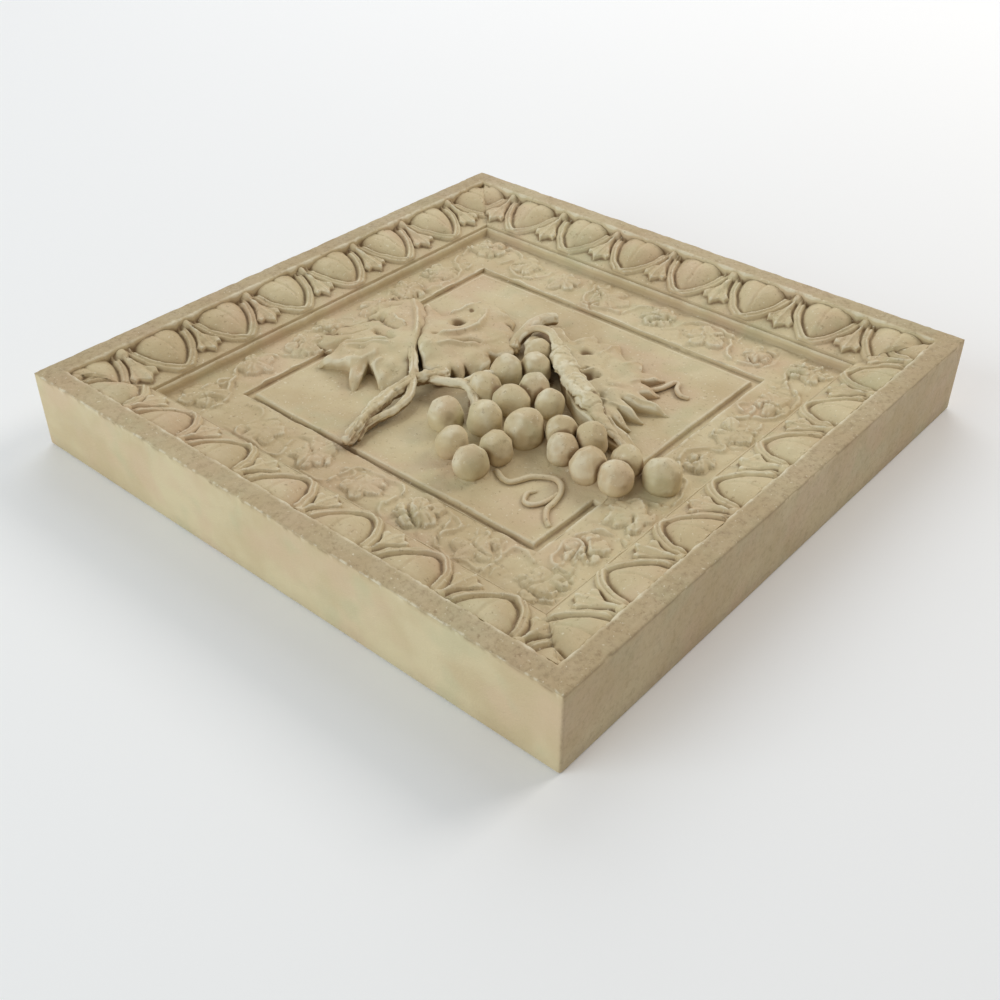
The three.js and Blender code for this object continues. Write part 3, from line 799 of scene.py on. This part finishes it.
# Each leaf: how far its top falls away towards the edge, its outline, its heights, its raised veins and
# folds (points, height, width), its sunk lines (points, depth, width) and its round dents (middle, half
# size in x, half size in y, depth).
LEAVES = {
    "left_leaf": (
        2.2, LEFT_LEAF, LEFT_HEIGHTS,
        ((((-10, 50), (5, 64), (14, 73), (25, 87)), 2.2, 1.3),
         (((-20, 59), (-24, 69), (-28, 81)), 1.8, 0.9), (((-22, 56), (-26, 64), (-34, 77)), 1.4, 0.9),
         (((-3, 64), (1, 74), (5, 81)), 2.0, 1.0), (((-30, 56), (-38, 60), (-46, 76)), 1.6, 1.8),
         (((-30, 52), (-40, 54), (-50, 52)), 1.2, 1.4)),
        ((((-12, 76), (-14, 68), (-17, 62)), 2.8, 1.9), (((3, 88), (-3, 78), (-6, 68)), 2.4, 1.6),
         (((-23, 94), (-20, 86), (-14, 82)), 2.2, 1.5), (((-1, 88), (3, 86)), 2.4, 1.2),
         (((-36, 90), (-30, 84), (-26, 82)), 2.4, 1.4), (((12, 97), (17, 88)), 1.8, 1.4),
         (((-40, 82), (-33, 84)), 2.4, 1.3), (((-34, 72), (-30, 66)), 1.0, 2.0),
         (((-25, 104), (-22, 95)), 2.6, 1.3), (((-14, 103), (-12, 94)), 2.6, 1.3),
         (((-2, 97), (1, 89)), 2.2, 1.2), (((25, 105), (22, 94)), 2.4, 1.2)),
        ()),
    "middle_leaf": (
        1.6, MIDDLE_LEAF, MIDDLE_HEIGHTS,
        ((((-1, 46), (5, 42), (12, 39), (22, 39), (32, 44), (42, 51)), 2.8, 1.3),
         (((26, 62), (34, 60), (45, 59)), 2.2, 1.3), (((-10, 38), (-3, 36), (2, 32), (7, 27)), 1.8, 1.1),
         (((4, 30), (14, 26), (26, 26)), 0.7, 1.5)),
        ((((0, 48), (5, 45), (10, 42.5)), 3.2, 1.2), (((2, 37), (8, 33), (10, 28)), 2.2, 1.2)),
        (((-12, 41), 5.0, 4.5, -1.6), ((32, 51), 7.0, 4.0, 3.2), ((19.5, 50), 3.25, 2.6, 9.0),
         ((36, 56), 2.0, 1.2, 1.2), ((48, 44), 1.5, 1.5, 2.5), ((39, 34), 1.5, 1.5, 2.5))),
    "right_leaf": (
        0.8, RIGHT_LEAF, RIGHT_HEIGHTS,
        ((((40, -21), (50, -19.5), (61, -17.5)), 0.9, 1.0),
         (((42, -35), (50, -35), (56, -35.5)), 0.9, 1.0), (((30, -46), (40, -49), (50, -53)), 0.9, 1.0),
         (((20, -52), (25, -62), (27, -72)), 0.9, 1.0), (((10, -50), (12, -58), (14, -67)), 0.9, 1.0),
         (((0, -56), (-2, -68), (-4, -78)), 0.9, 1.0), (((14, -27), (20, -26), (27, -28)), 2.6, 1.0),
         (((4, -41), (8, -44.5), (10, -48)), 2.6, 1.0)),
        ((((26, -25), (20, -24), (17, -22)), 2.6, 0.9), (((44, -26), (34, -30)), 0.8, 1.8),
         (((36, -40), (28, -40)), 0.8, 1.8), (((24, -48), (20, -42)), 0.8, 1.6)),
        (((39, -15), 3.6, 2.4, 3.6), ((21, -29.5), 3.8, 3.2, 4.4), ((10, -43), 3.2, 2.2, 4.0),
         ((4.5, -46.5), 3.2, 2.2, 4.0), ((24, -33), 1.6, 1.6, 2.0), ((44, -5), 3.5, 2.5, 1.5))),
}


def leaf(name):
    """One of the three big leaves, from its numbers in LEAVES."""
    drop, outline, heights, ridges, cuts, dents = LEAVES[name]
    base = draped(heights)

    def surface(x, y):
        z = base(x, y)
        for points, rise, width in ridges:
            z += ridge(x, y, points, rise, width)
        for points, sink, width in cuts:
            z -= sink * bump(near_line(x, y, points)[0], width)
        for (px, py), wide, tall, sink in dents:
            z -= sink * bump(np.hypot((x - px) / wide, (y - py) / tall), 1)
        return z
    relief(name, outline, surface, drop)


# ---- the rolled edge of the right leaf ----
ROLL = (
    (21, 16, 24.5), (25, 17.5, 28), (30, 16.5, 31), (35, 12.5, 33), (35.5, 5, 33.8), (31, -2, 33.6),
    (26, -9, 33.2), (18, -18, 33), (10, -29, 33), (4, -39, 33), (-1, -48, 32.6), (-5, -56, 31),
    (-8, -63, 29.8), (-10.5, -70, 28.6), (-12, -76, 27),
)


def rolled_edge():
    """The right leaf's curled edge, thinner at both ends and torn beyond its first quarter."""
    path = spaced(curve_through(ROLL, 14), 0.45)
    along = np.linspace(0, 1, len(path))
    radius = 2.4 + 3.2 * ease(0.24, 0.42, along) - 3.4 * ease(0.7, 0.86, along)
    radius = radius + 0.5 * noise(along * 120, 0, 0, 7, 201)

    def torn(skin, _, part):
        x, y, z = np.moveaxis(skin, -1, 0)
        late = ease(0.22, 0.36, part) * (1 - 0.7 * ease(0.8, 0.9, part))
        flakes = 0.8 * noise(x, y, z, 4.2, 203) + 0.6 * noise(x, y, z, 2.0, 205)
        flakes = flakes + 0.3 * noise(x, y, z, 0.9, 211)
        split = -1.2 * bump(noise(x, y, z, 6, 213), 0.09)
        return late * (flakes + split) + 0.2 * noise(x, y, z, 3, 207)
    tube("rolled_edge", path, radius, 40, torn, 0.62)


# ---- wood, tendrils and grapes ----
WOOD = (
    ("branch", 3.2, 0.85, ((-85, 20, 25), (-81, 21.5, 25.6), (-77, 23, 26.2), (-67, 26, 27),
        (-56, 28, 28.2), (-46, 29, 29), (-38, 29, 29.6), (-31, 30, 29))),
    ("branch_strand", 2.1, 0.5, ((-80, 19.5, 24.5), (-74, 22, 25.4), (-66, 22.5, 25.8), (-58, 21, 26.4),
        (-51, 20.5, 27.4), (-44, 22, 28.6), (-37, 27, 30), (-28, 35, 31.2), (-21, 42, 31.6),
        (-16, 47, 31.4))),
    ("branch_stub", 3.1, 0.6, ((-35, 30, 29), (-29, 26, 29.6), (-24, 22.5, 29.8), (-20, 21, 29.6))),
    ("bunch_stalk", 2.3, 0.25, ((-29, 26, 29), (-27, 19, 29.5), (-25, 13, 30), (-23, 8, 30),
        (-24, 3, 29.6), (-28, -3, 29), (-34, -9, 28.6))),
    ("bunch_stalk_fork", 2.0, 0.2, ((-24, 9, 30), (-17, 8, 30.6), (-11, 5, 31), (-6, 2, 31))),
    ("back_lobe", 3.2, 0.3, ((22, 16, 26), (27, 18.5, 27.4), (35, 20, 28), (42, 21, 28.4), (48, 21, 28.4),
        (54, 19.5, 27.6), (57, 18, 27))),
)
TENDRILS = (
    ("tendril_low", 1.5, ((-56, -40, 22), (-57, -42, 22.4), (-59, -47, 22.6), (-58, -51, 22.8),
        (-50, -55, 22.8), (-45, -62, 22.6), (-46, -67, 22.6), (-51, -71, 22.8), (-58, -73, 22.8),
        (-63, -73.5, 22.5), (-68, -77, 22.3), (-71, -81, 21.9))),
    ("tendril_low_loop", 1.3, ((-52, -70.5, 22.4), (-60, -70, 22.8), (-65, -67, 22.8), (-65, -63, 22.6),
        (-60, -60.5, 22.4), (-56, -62, 22))),
    ("tendril_right", 1.4, ((36, -45, 24), (36, -52, 23.6), (42, -56, 23.4), (50, -58, 23.4),
        (51, -60, 23.2), (47, -62, 23), (44, -66, 22.8), (45, -70, 22.2))),
    ("tendril_right_prong", 1.2, ((39, -45, 24), (38.5, -49, 23.8), (36.5, -52, 23.6))),
)
GRAPES = (
    (-44, 0, 28, 8.5), (-58, -17, 28, 7.5), (-65, -34, 29, 8), (-49, -34, 28, 7.7), (-37, -17, 30, 8.2),
    (-19, -2, 30.8, 7.2), (-1, 1, 30, 8), (-19, -17, 30.5, 7.7), (-31, -35, 29, 9.2), (11, -7, 30, 7.2),
    (23, 2, 28.5, 7), (-6, -19, 30.8, 7.3), (-10, -32, 30.5, 7), (-23, -49, 30, 7.1), (-32, -57, 29, 7.2),
    (-20, -63, 31, 7.1), (-35, -73, 29.5, 8.2), (-35, -87, 30, 7.6), (-22, -83, 29, 7.5),
    (-20, -100, 28.5, 8.6),
)
# The grapes that aren't round: number, how long, and which way the long side lies.
GRAPE_STRETCH = {
    4: (1.1, 0.6), 6: (1.2, 1.3), 7: (1.18, 1.0), 8: (1.15, 1.9), 10: (1.15, 0.8), 11: (1.15, 0.8),
    12: (1.2, 0.1), 14: (1.12, 0.5), 16: (1.1, 1.2),
}


def wooden_bar(name, radius, bark, points):
    """A rounded bar, thinner at its start; bark is how rough it is."""
    path = spaced(curve_through(points, 12), 0.55)
    along = np.linspace(0, 1, len(path))
    thick = radius * (0.84 + 0.16 * ease(0, 0.25, along) + 0.1 * noise(along * 60, 0, 0, 7, len(name)))

    def bark_height(skin, turn, part):
        x, y, z = np.moveaxis(skin, -1, 0)
        strips = noise(np.cos(turn) * 3, np.sin(turn) * 3, part * 7, 1.0, 301)
        cracks = bump(noise(np.cos(turn) * 2.4, np.sin(turn) * 2.4, part * 5, 1.0, 307), 0.12)
        grain = 0.5 * noise(x, y, z, 2.4, 303) + 0.3 * noise(x, y, z, 1.1, 305)
        return bark * (strips - 1.1 * cracks + grain)
    tube(name, path, thick, 28, bark_height)


def tendril(name, radius, points):
    """A smooth bar that thins towards its end."""
    path = spaced(curve_through(points, 12), 0.5)
    along = np.linspace(0, 1, len(path))
    thick = radius * (1 - 0.25 * along + 0.1 * noise(along * 60, 0, 0, 8, 307))
    tube(name, path, thick, 18)


def grape_radius(d, number):
    """Size of one grape in each direction d: lumps, and a few flats where the clay was pressed."""
    x, y, z = np.moveaxis(d, -1, 0)
    size = 0.985 + 0.1 * noise(x, y, z, 1.0, 400 + number) + 0.02 * noise(x, y, z, 0.45, 430 + number)
    for flat in range(8):
        nx, ny, nz = (lattice(number, flat, axis, 450) for axis in range(3))
        length = math.sqrt(nx * nx + ny * ny + nz * nz) + 1e-6
        facing = (x * nx + y * ny + z * abs(nz)) / length
        size = size - 0.8 * np.maximum(size - 0.88 / np.maximum(facing, 0.3), 0)
    return size


def grapes():
    """Grapes that widen downwards into the bed, so that none overhangs it."""
    rows, columns = 44, 64
    lat = np.linspace(0.5 / rows, 1 - 0.5 / rows, rows)[:, None] * math.pi
    lon = np.linspace(0, 2 * math.pi, columns, endpoint=False)[None, :]
    d = np.stack([np.sin(lat) * np.cos(lon), np.sin(lat) * np.sin(lon), np.cos(lat) + 0 * lon], -1)
    faces = [face[::-1] for face in capped_faces(rows, columns)]
    for n, (gx, gy, gz, radius) in enumerate(GRAPES):
        skin = d * (radius * grape_radius(d, n))[..., None]
        skin[..., :2] *= 1 + 0.48 * np.maximum(-d[..., 2:], 0) ** 2
        long, turn = GRAPE_STRETCH.get(n + 1, (1.0, 0.0))
        axis = np.array((math.cos(turn), math.sin(turn)))
        skin[..., :2] += (skin[..., :2] @ axis)[..., None] * axis * (long - 1)
        skin += np.array([gx, gy, gz])
        skin[..., 2] = np.clip(skin[..., 2], UNDER, TOP - 0.1)
        top = max(min(gz + radius * 0.93, TOP - 0.1), skin[0, :, 2].mean())
        points = np.vstack([skin.reshape(-1, 3), [[gx, gy, top], [gx, gy, UNDER]]])
        raise_piece(f"grape_{n + 1:02d}", points, faces)


# ---- painted shade where the surface is sunk, paler worn crests, and a dusty tint with painted shade on the rim and bottom side, as attributes on every piece ----
CELL = 0.75                        # size of a cell of the height field
SIDE_HOLLOW = 0.36                 # what the plain side faces and the back get
# Deep pits and clefts, painted darker still as shade in them: x, y and size.
SHADE_SPOTS = (
    (21.5, 52, 3.6), (36, 56, 1.2), (39, -15, 2.6), (21, -29.5, 2.6), (10, -43, 2.0), (4.5, -46.5, 2.2),
    (2, 46, 1.4), (48, 44, 1.4), (39, 34, 1.4), (-23, 99, 1.7), (-22, 95, 1.4), (-13, 97, 1.8),
    (-1, 91, 1.8), (23, 97, 1.8), (24, 101, 1.5), (5.5, 17.5, 2.4), (-9, 19.5, 2.0), (-15.5, 21.5, 2.0),
    (-21.5, 25, 2.0),
)


def box_blur(field, reach):
    """The field with each cell averaged over the square of cells round it, twice."""
    size = 2 * reach + 1
    for _ in range(2):
        for axis in (0, 1):
            padded = np.concatenate([np.take(field, [0] * (reach + 1), axis), field,
                                     np.take(field, [-1] * reach, axis)], axis)
            total = np.cumsum(padded, axis)
            count = field.shape[axis]
            field = (np.take(total, np.arange(size, size + count), axis)
                     - np.take(total, np.arange(count), axis)) / size
    return field


def sampled(field, x, y):
    """The field's value at each place, blended between cells."""
    u = np.clip((x + HALF) / CELL - 0.5, 0, field.shape[0] - 1.001)
    v = np.clip((y + HALF) / CELL - 0.5, 0, field.shape[1] - 1.001)
    i, j = u.astype(int), v.astype(int)
    u, v = u - i, v - j
    return (field[i, j] * (1 - u) * (1 - v) + field[i + 1, j] * u * (1 - v)
            + field[i, j + 1] * (1 - u) * v + field[i + 1, j + 1] * u * v)


def crevice_shade(x, y, z, number):
    """Painted shade between grapes: 1 where a grape meets another one, 0 a little way off."""
    gap = np.full(x.shape, 9.0)
    for n, (gx, gy, gz, radius) in enumerate(GRAPES):
        if n != number:
            below, above = np.minimum(z - gz, 0), np.maximum(z - gz, 0)
            distance = np.sqrt((x - gx) ** 2 + (y - gy) ** 2 + below ** 2 * 0.2 + above ** 2)
            gap = np.minimum(gap, distance - radius)
    return 1 - ease(-0.3, 3.0, gap)


def flat_points(piece):
    """x, y and z of a piece's points in the flat frame, in millimetres."""
    stood = np.empty(len(piece.data.vertices) * 3)
    piece.data.vertices.foreach_get("co", stood)
    stood = stood.reshape(-1, 3) * MM
    return stood[:, 0], stood[:, 2], -stood[:, 1]


def height_field(clouds):
    """The highest point of all pieces but the grapes in each cell of a square grid."""
    cells = int(2 * HALF / CELL) + 1
    field = np.zeros((cells, cells))
    for piece, x, y, z in clouds:
        if not piece.name.startswith("grape"):
            i, j = (np.clip(((a + HALF) / CELL).astype(int), 0, cells - 1) for a in (x, y))
            np.maximum.at(field, (i, j), z)
    empty = field < 1
    for shift in ((1, 0), (-1, 0), (0, 1), (0, -1), (1, 1), (-1, -1)):
        field = np.where(empty, np.maximum(field, np.roll(field, shift, (0, 1))), field)
    return field


def shade_wash_and_wear_of(name, x, y, z, near, wide):
    """Painted shade with some brown wash, from 1 deep in a recess to 0 on a crest, from each point's height
    against the heights round it. Low values paint crests worn pale.
    """
    if name.startswith("grape"):
        number = int(name[6:]) - 1
        below = (GRAPES[number][1] - y) / GRAPES[number][3]
        # Painted shade on the grapes: darker low down, where they meet and on their lower side; the noise
        # gives brown patches.
        shade_wash_and_wear = 0.31 + 0.2 * ease(28, 23, z) + 0.55 * crevice_shade(x, y, z, number) + 0.2 * ease(0, 1, below)
        shade_wash_and_wear = shade_wash_and_wear + 0.17 * noise(x, y, z, 6, 711) + 0.1 * noise(x, y, z, 2, 712)
    else:
        # Painted shade, partly brown wash: darker below the heights round a point, paler above them for worn
        # crests.
        shade_wash_and_wear = (np.clip(0.42 + (sampled(near, x, y) - z) * 0.42, 0, 1) * 0.7
                  + np.clip(0.4 + (sampled(wide, x, y) - z) * 0.12, 0, 0.75) * 0.3)
    if name.startswith("branch"):
        shade_wash_and_wear = shade_wash_and_wear + 0.1 + 0.12 * noise(x, y, z, 3.5, 717)
    shade_wash_and_wear = shade_wash_and_wear + 0.06 * layered(x, y, z, 11, 713)
    if name in ("panel", "vine_band"):
        open_ground = (z > GROUND - 0.7) & (bunch_bed(x, y) < 0.3)
        shade_wash_and_wear = np.where(open_ground, np.minimum(shade_wash_and_wear, 0.6), shade_wash_and_wear)
        # Painted shade on the bed between and under the grapes.
        shade_wash_and_wear = shade_wash_and_wear + 0.4 * ease(0.8, 4.5, bunch_bed(x, y))
    # Painted shade in the deep pits and clefts.
    for px, py, size in SHADE_SPOTS:
        shade_wash_and_wear = shade_wash_and_wear + 0.6 * bump(np.hypot(x - px, y - py), size)
    shade_wash_and_wear[(np.maximum(np.abs(x), np.abs(y)) > HALF - 2.2) & (z < TOP - 1.3)] = SIDE_HOLLOW
    # Paler along the left top edge: worn paint, and a painted highlight on the edge that faces the light.
    left_edge_wear_and_highlight = ease(HALF - 1.3, HALF - 0.2, -x) * ease(TOP - 1.7, TOP - 0.7, z)
    broken_line = ease(-0.7, 0.5, noise(0 * x, y, 0, 1.8, 701) + 0.5 * noise(0 * x, y, 0, 23, 703))
    return shade_wash_and_wear - 0.34 * left_edge_wear_and_highlight * broken_line


def dust_and_shade_of(x, y, z):
    """A dusty tint on the rim, darker at its far and near ends, and painted shade on the bottom side face.
    """
    s = np.maximum(np.abs(x), np.abs(y))
    rim = ease(RIM_INNER, RIM_INNER + 2, s) * ease(TOP - 1.4, TOP - 0.8, z)
    rim = rim * (0.6 + 0.25 * ease(100, -150, y) + 0.3 * ease(130, 142, y))
    # Painted shade on the bottom side face.
    return rim + 0.55 * ease(HALF - 1.2, HALF - 0.4, -y) * ease(TOP - 1, TOP - 3, z)


def mark_surface():
    """Keeps the two values on the points of every piece, for the material."""
    clouds = [(piece, *flat_points(piece)) for piece in pieces]
    field = height_field(clouds)
    near, wide = box_blur(field, 1), box_blur(field, 4)
    for piece, x, y, z in clouds:
        marks = {"shade_wash_and_wear": shade_wash_and_wear_of(piece.name, x, y, z, near, wide), "dust_and_shade": dust_and_shade_of(x, y, z)}
        for label, values in marks.items():
            layer = piece.data.attributes.new(label, "FLOAT", "POINT")
            layer.data.foreach_set("value", values.astype(np.float32))


# ---- material ----
def node_adder(tree):
    """A function that adds a node with its inputs and settings, and returns the output asked for."""
    def add(kind, output, inputs, **settings):
        node = tree.nodes.new("ShaderNode" + kind)
        for label, value in settings.items():
            setattr(node, label, value)
        for label, value in inputs.items():
            if isinstance(value, bpy.types.NodeSocket):
                tree.links.new(value, node.inputs[label])
            else:
                node.inputs[label].default_value = value
        return node.outputs[output]
    return add


def painted_plaster():
    """Beige paint in mottled tints: brown painted shade, partly wash, in the recesses, worn pale on the
    crests, a dusty tint on the rim and painted shade on the bottom side.
    """
    material = bpy.data.materials.new("painted_plaster")
    material.use_nodes = True
    tree = material.node_tree
    add = node_adder(tree)
    place = add("NewGeometry", "Position", {})

    def cloud(size, detail, roughness=0.55, offset=(0, 0, 0)):
        moved = add("VectorMath", "Vector", {0: place, 1: offset}, operation="ADD")
        inputs = {"Vector": moved, "Scale": 1 / size, "Detail": detail, "Roughness": roughness}
        return add("TexNoise", "Fac", inputs)

    def spread(value, start, end, low_value=0.0, high_value=1.0):
        inputs = {"Value": value, "From Min": start, "From Max": end}
        inputs.update({"To Min": low_value, "To Max": high_value})
        return add("MapRange", "Result", inputs, interpolation_type="SMOOTHSTEP")

    def blend(amount, first, second):
        return add("Mix", 2, {0: amount, 6: first, 7: second}, data_type="RGBA")

    def times(value, factor):
        return add("Math", "Value", {0: value, 1: factor}, operation="MULTIPLY")

    def attribute(label):
        return add("Attribute", "Fac", {}, attribute_name=label)

    # This attribute holds painted shade, partly brown wash, and low values for worn crests and the painted
    # highlight on the left top edge.
    sunk = attribute("shade_wash_and_wear")
    normal = add("NewGeometry", "Normal", {})
    upward = spread(add("SeparateXYZ", "Y", {"Vector": normal}), -0.15, -0.6)

    cream, sand = (0.62, 0.52, 0.325, 1), (0.54, 0.425, 0.25, 1)
    pink, olive = (0.60, 0.445, 0.29, 1), (0.50, 0.46, 0.28, 1)
    brown, pale = (0.21, 0.125, 0.055, 1), (0.80, 0.745, 0.58, 1)
    dust_and_shade_tint, grit = (0.34, 0.25, 0.145, 1), (0.30, 0.215, 0.12, 1)
    colour = blend(spread(cloud(0.045, 3), 0.38, 0.64), cream, sand)
    colour = blend(spread(cloud(0.03, 2, offset=(0.3, 0.1, 0)), 0.46, 0.7, 0, 0.65), colour, pink)
    colour = blend(spread(cloud(0.022, 2, offset=(0, 0.4, 0.2)), 0.52, 0.72, 0, 0.5), colour, olive)
    # A dusty tint on the rim, and painted shade on the bottom side face.
    colour = blend(times(attribute("dust_and_shade"), 0.5), colour, dust_and_shade_tint)
    # Brown painted shade in the recesses and about the grapes, partly brown wash.
    colour = blend(times(spread(sunk, 0.46, 0.9), 0.85), colour, brown)
    # Pale worn crests, and a painted highlight along the left top edge.
    colour = blend(spread(sunk, 0.40, 0.12, 0, 0.6), colour, pale)
    specks = times(spread(cloud(0.0022, 3, 0.7, (0.1, 0, 0.7)), 0.58, 0.74, 0, 0.5), upward)
    colour = blend(specks, colour, brown)
    grains = spread(cloud(0.0026, 4, 0.75, (0.8, 0.3, 0.2)), 0.44, 0.76, 0, 0.85)
    colour = blend(times(grains, attribute("dust_and_shade")), colour, grit)
    flecks = times(spread(cloud(0.0016, 2, 0.6, (0.5, 0.2, 0)), 0.64, 0.74, 0, 0.55), upward)
    colour = blend(flecks, colour, pale)

    rough = spread(cloud(0.01, 3, offset=(0.2, 0.2, 0.2)), 0.3, 0.7, 0.52, 0.74)
    fine = times(cloud(0.0012, 4, 0.65), 0.7)
    coarse = times(cloud(0.006, 3, 0.6, (0.4, 0.1, 0.3)), 0.9)
    height = add("Math", "Value", {0: fine, 1: coarse}, operation="ADD")
    dented = add("Bump", "Normal", {"Height": height, "Strength": 0.75, "Distance": 0.0005})

    shader = tree.nodes["Principled BSDF"]
    shader.inputs["Metallic"].default_value = 0.0
    shader.inputs["Specular IOR Level"].default_value = 0.32
    tree.links.new(colour, shader.inputs["Base Color"])
    tree.links.new(rough, shader.inputs["Roughness"])
    tree.links.new(dented, shader.inputs["Normal"])
    return material


def plain_material(name, colour, rough):
    material = bpy.data.materials.new(name)
    material.use_nodes = True
    shader = material.node_tree.nodes["Principled BSDF"]
    shader.inputs["Base Color"].default_value = colour
    shader.inputs["Roughness"].default_value = rough
    shader.inputs["Specular IOR Level"].default_value = 0.2
    return material


# ---- stage, light and camera ----
def backing():
    """The pale paper behind the plaque, in metres, open behind the plaque so that its back can be seen."""
    far, gap, level = 2.6, 0.14, 0.0004
    outer = [(-far, -far), (far, -far), (far, far), (-far, far)]
    hole = [(-gap, -gap), (gap, -gap), (gap, gap), (-gap, gap)]
    points = [(x, level, z) for x, z in outer + hole]
    faces = [(n, (n + 1) % 4, 4 + (n + 1) % 4, 4 + n) for n in range(4)]
    mesh = bpy.data.meshes.new("backing")
    mesh.from_pydata(points, [], faces)
    board = bpy.data.objects.new("backing", mesh)
    bpy.context.scene.collection.objects.link(board)
    board.data.materials.append(plain_material("pale_paper", (0.89, 0.90, 0.925, 1), 0.75))


def area_light(name, place, size, power, colour):
    """A square lamp that points at the middle of the plaque's back."""
    light = bpy.data.lights.new(name, "AREA")
    light.shape = "SQUARE"
    light.size = size
    light.energy = power
    light.color = colour
    lamp = bpy.data.objects.new(name, light)
    lamp.location = place
    lamp.rotation_euler = (-Vector(place)).to_track_quat("-Z", "Y").to_euler()
    bpy.context.scene.collection.objects.link(lamp)


def lights():
    """Two windows, the light from the back of the room, and an even dim light all round."""
    area_light("window_left", (-1.9, -0.85, 0.75), 1.7, 28, (0.86, 0.97, 1.0))
    area_light("window_right", (1.465, -1.23, -0.583), 0.7, 13, (1.0, 0.94, 0.85))
    area_light("back_of_room", (1.1, -1.2, 1.0), 1.5, 11.5, (0.95, 0.98, 1.0))
    world = bpy.data.worlds.new("room")
    world.use_nodes = True
    background = world.node_tree.nodes["Background"]
    background.inputs["Color"].default_value = (1.0, 0.97, 0.93, 1)
    background.inputs["Strength"].default_value = 0.42
    bpy.context.scene.world = world
    bpy.context.scene.view_settings.view_transform = "Standard"


def camera():
    """Looks at the front from the lower left, as if the plaque lay on a table."""
    data = bpy.data.cameras.new("camera")
    data.lens = 44.64
    data.sensor_width = 36
    data.clip_start = 0.01
    eye = bpy.data.objects.new("camera", data)
    forward = Vector((0.6042, 0.6049, 0.5187)).normalized()
    up = Vector((0.4568, -0.7963, 0.3965))
    right = forward.cross(up).normalized()
    up = right.cross(forward)
    turn = Matrix((right, up, -forward)).transposed().to_4x4()
    eye.matrix_world = Matrix.Translation((-0.3787, -0.3309, -0.3193)) @ turn
    bpy.context.scene.collection.objects.link(eye)
    bpy.context.scene.camera = eye


def build():
    casting_body()
    for order in range(len(SIDES)):
        egg_band(order)
    vine_band()
    panel()
    for name in LEAVES:
        leaf(name)
    rolled_edge()
    for name, radius, bark, points in WOOD:
        wooden_bar(name, radius, bark, points)
    for name, radius, points in TENDRILS:
        tendril(name, radius, points)
    grapes()
    mark_surface()
    finish = painted_plaster()
    for piece in pieces:
        piece.data.materials.append(finish)


build()
backing()
lights()
camera()
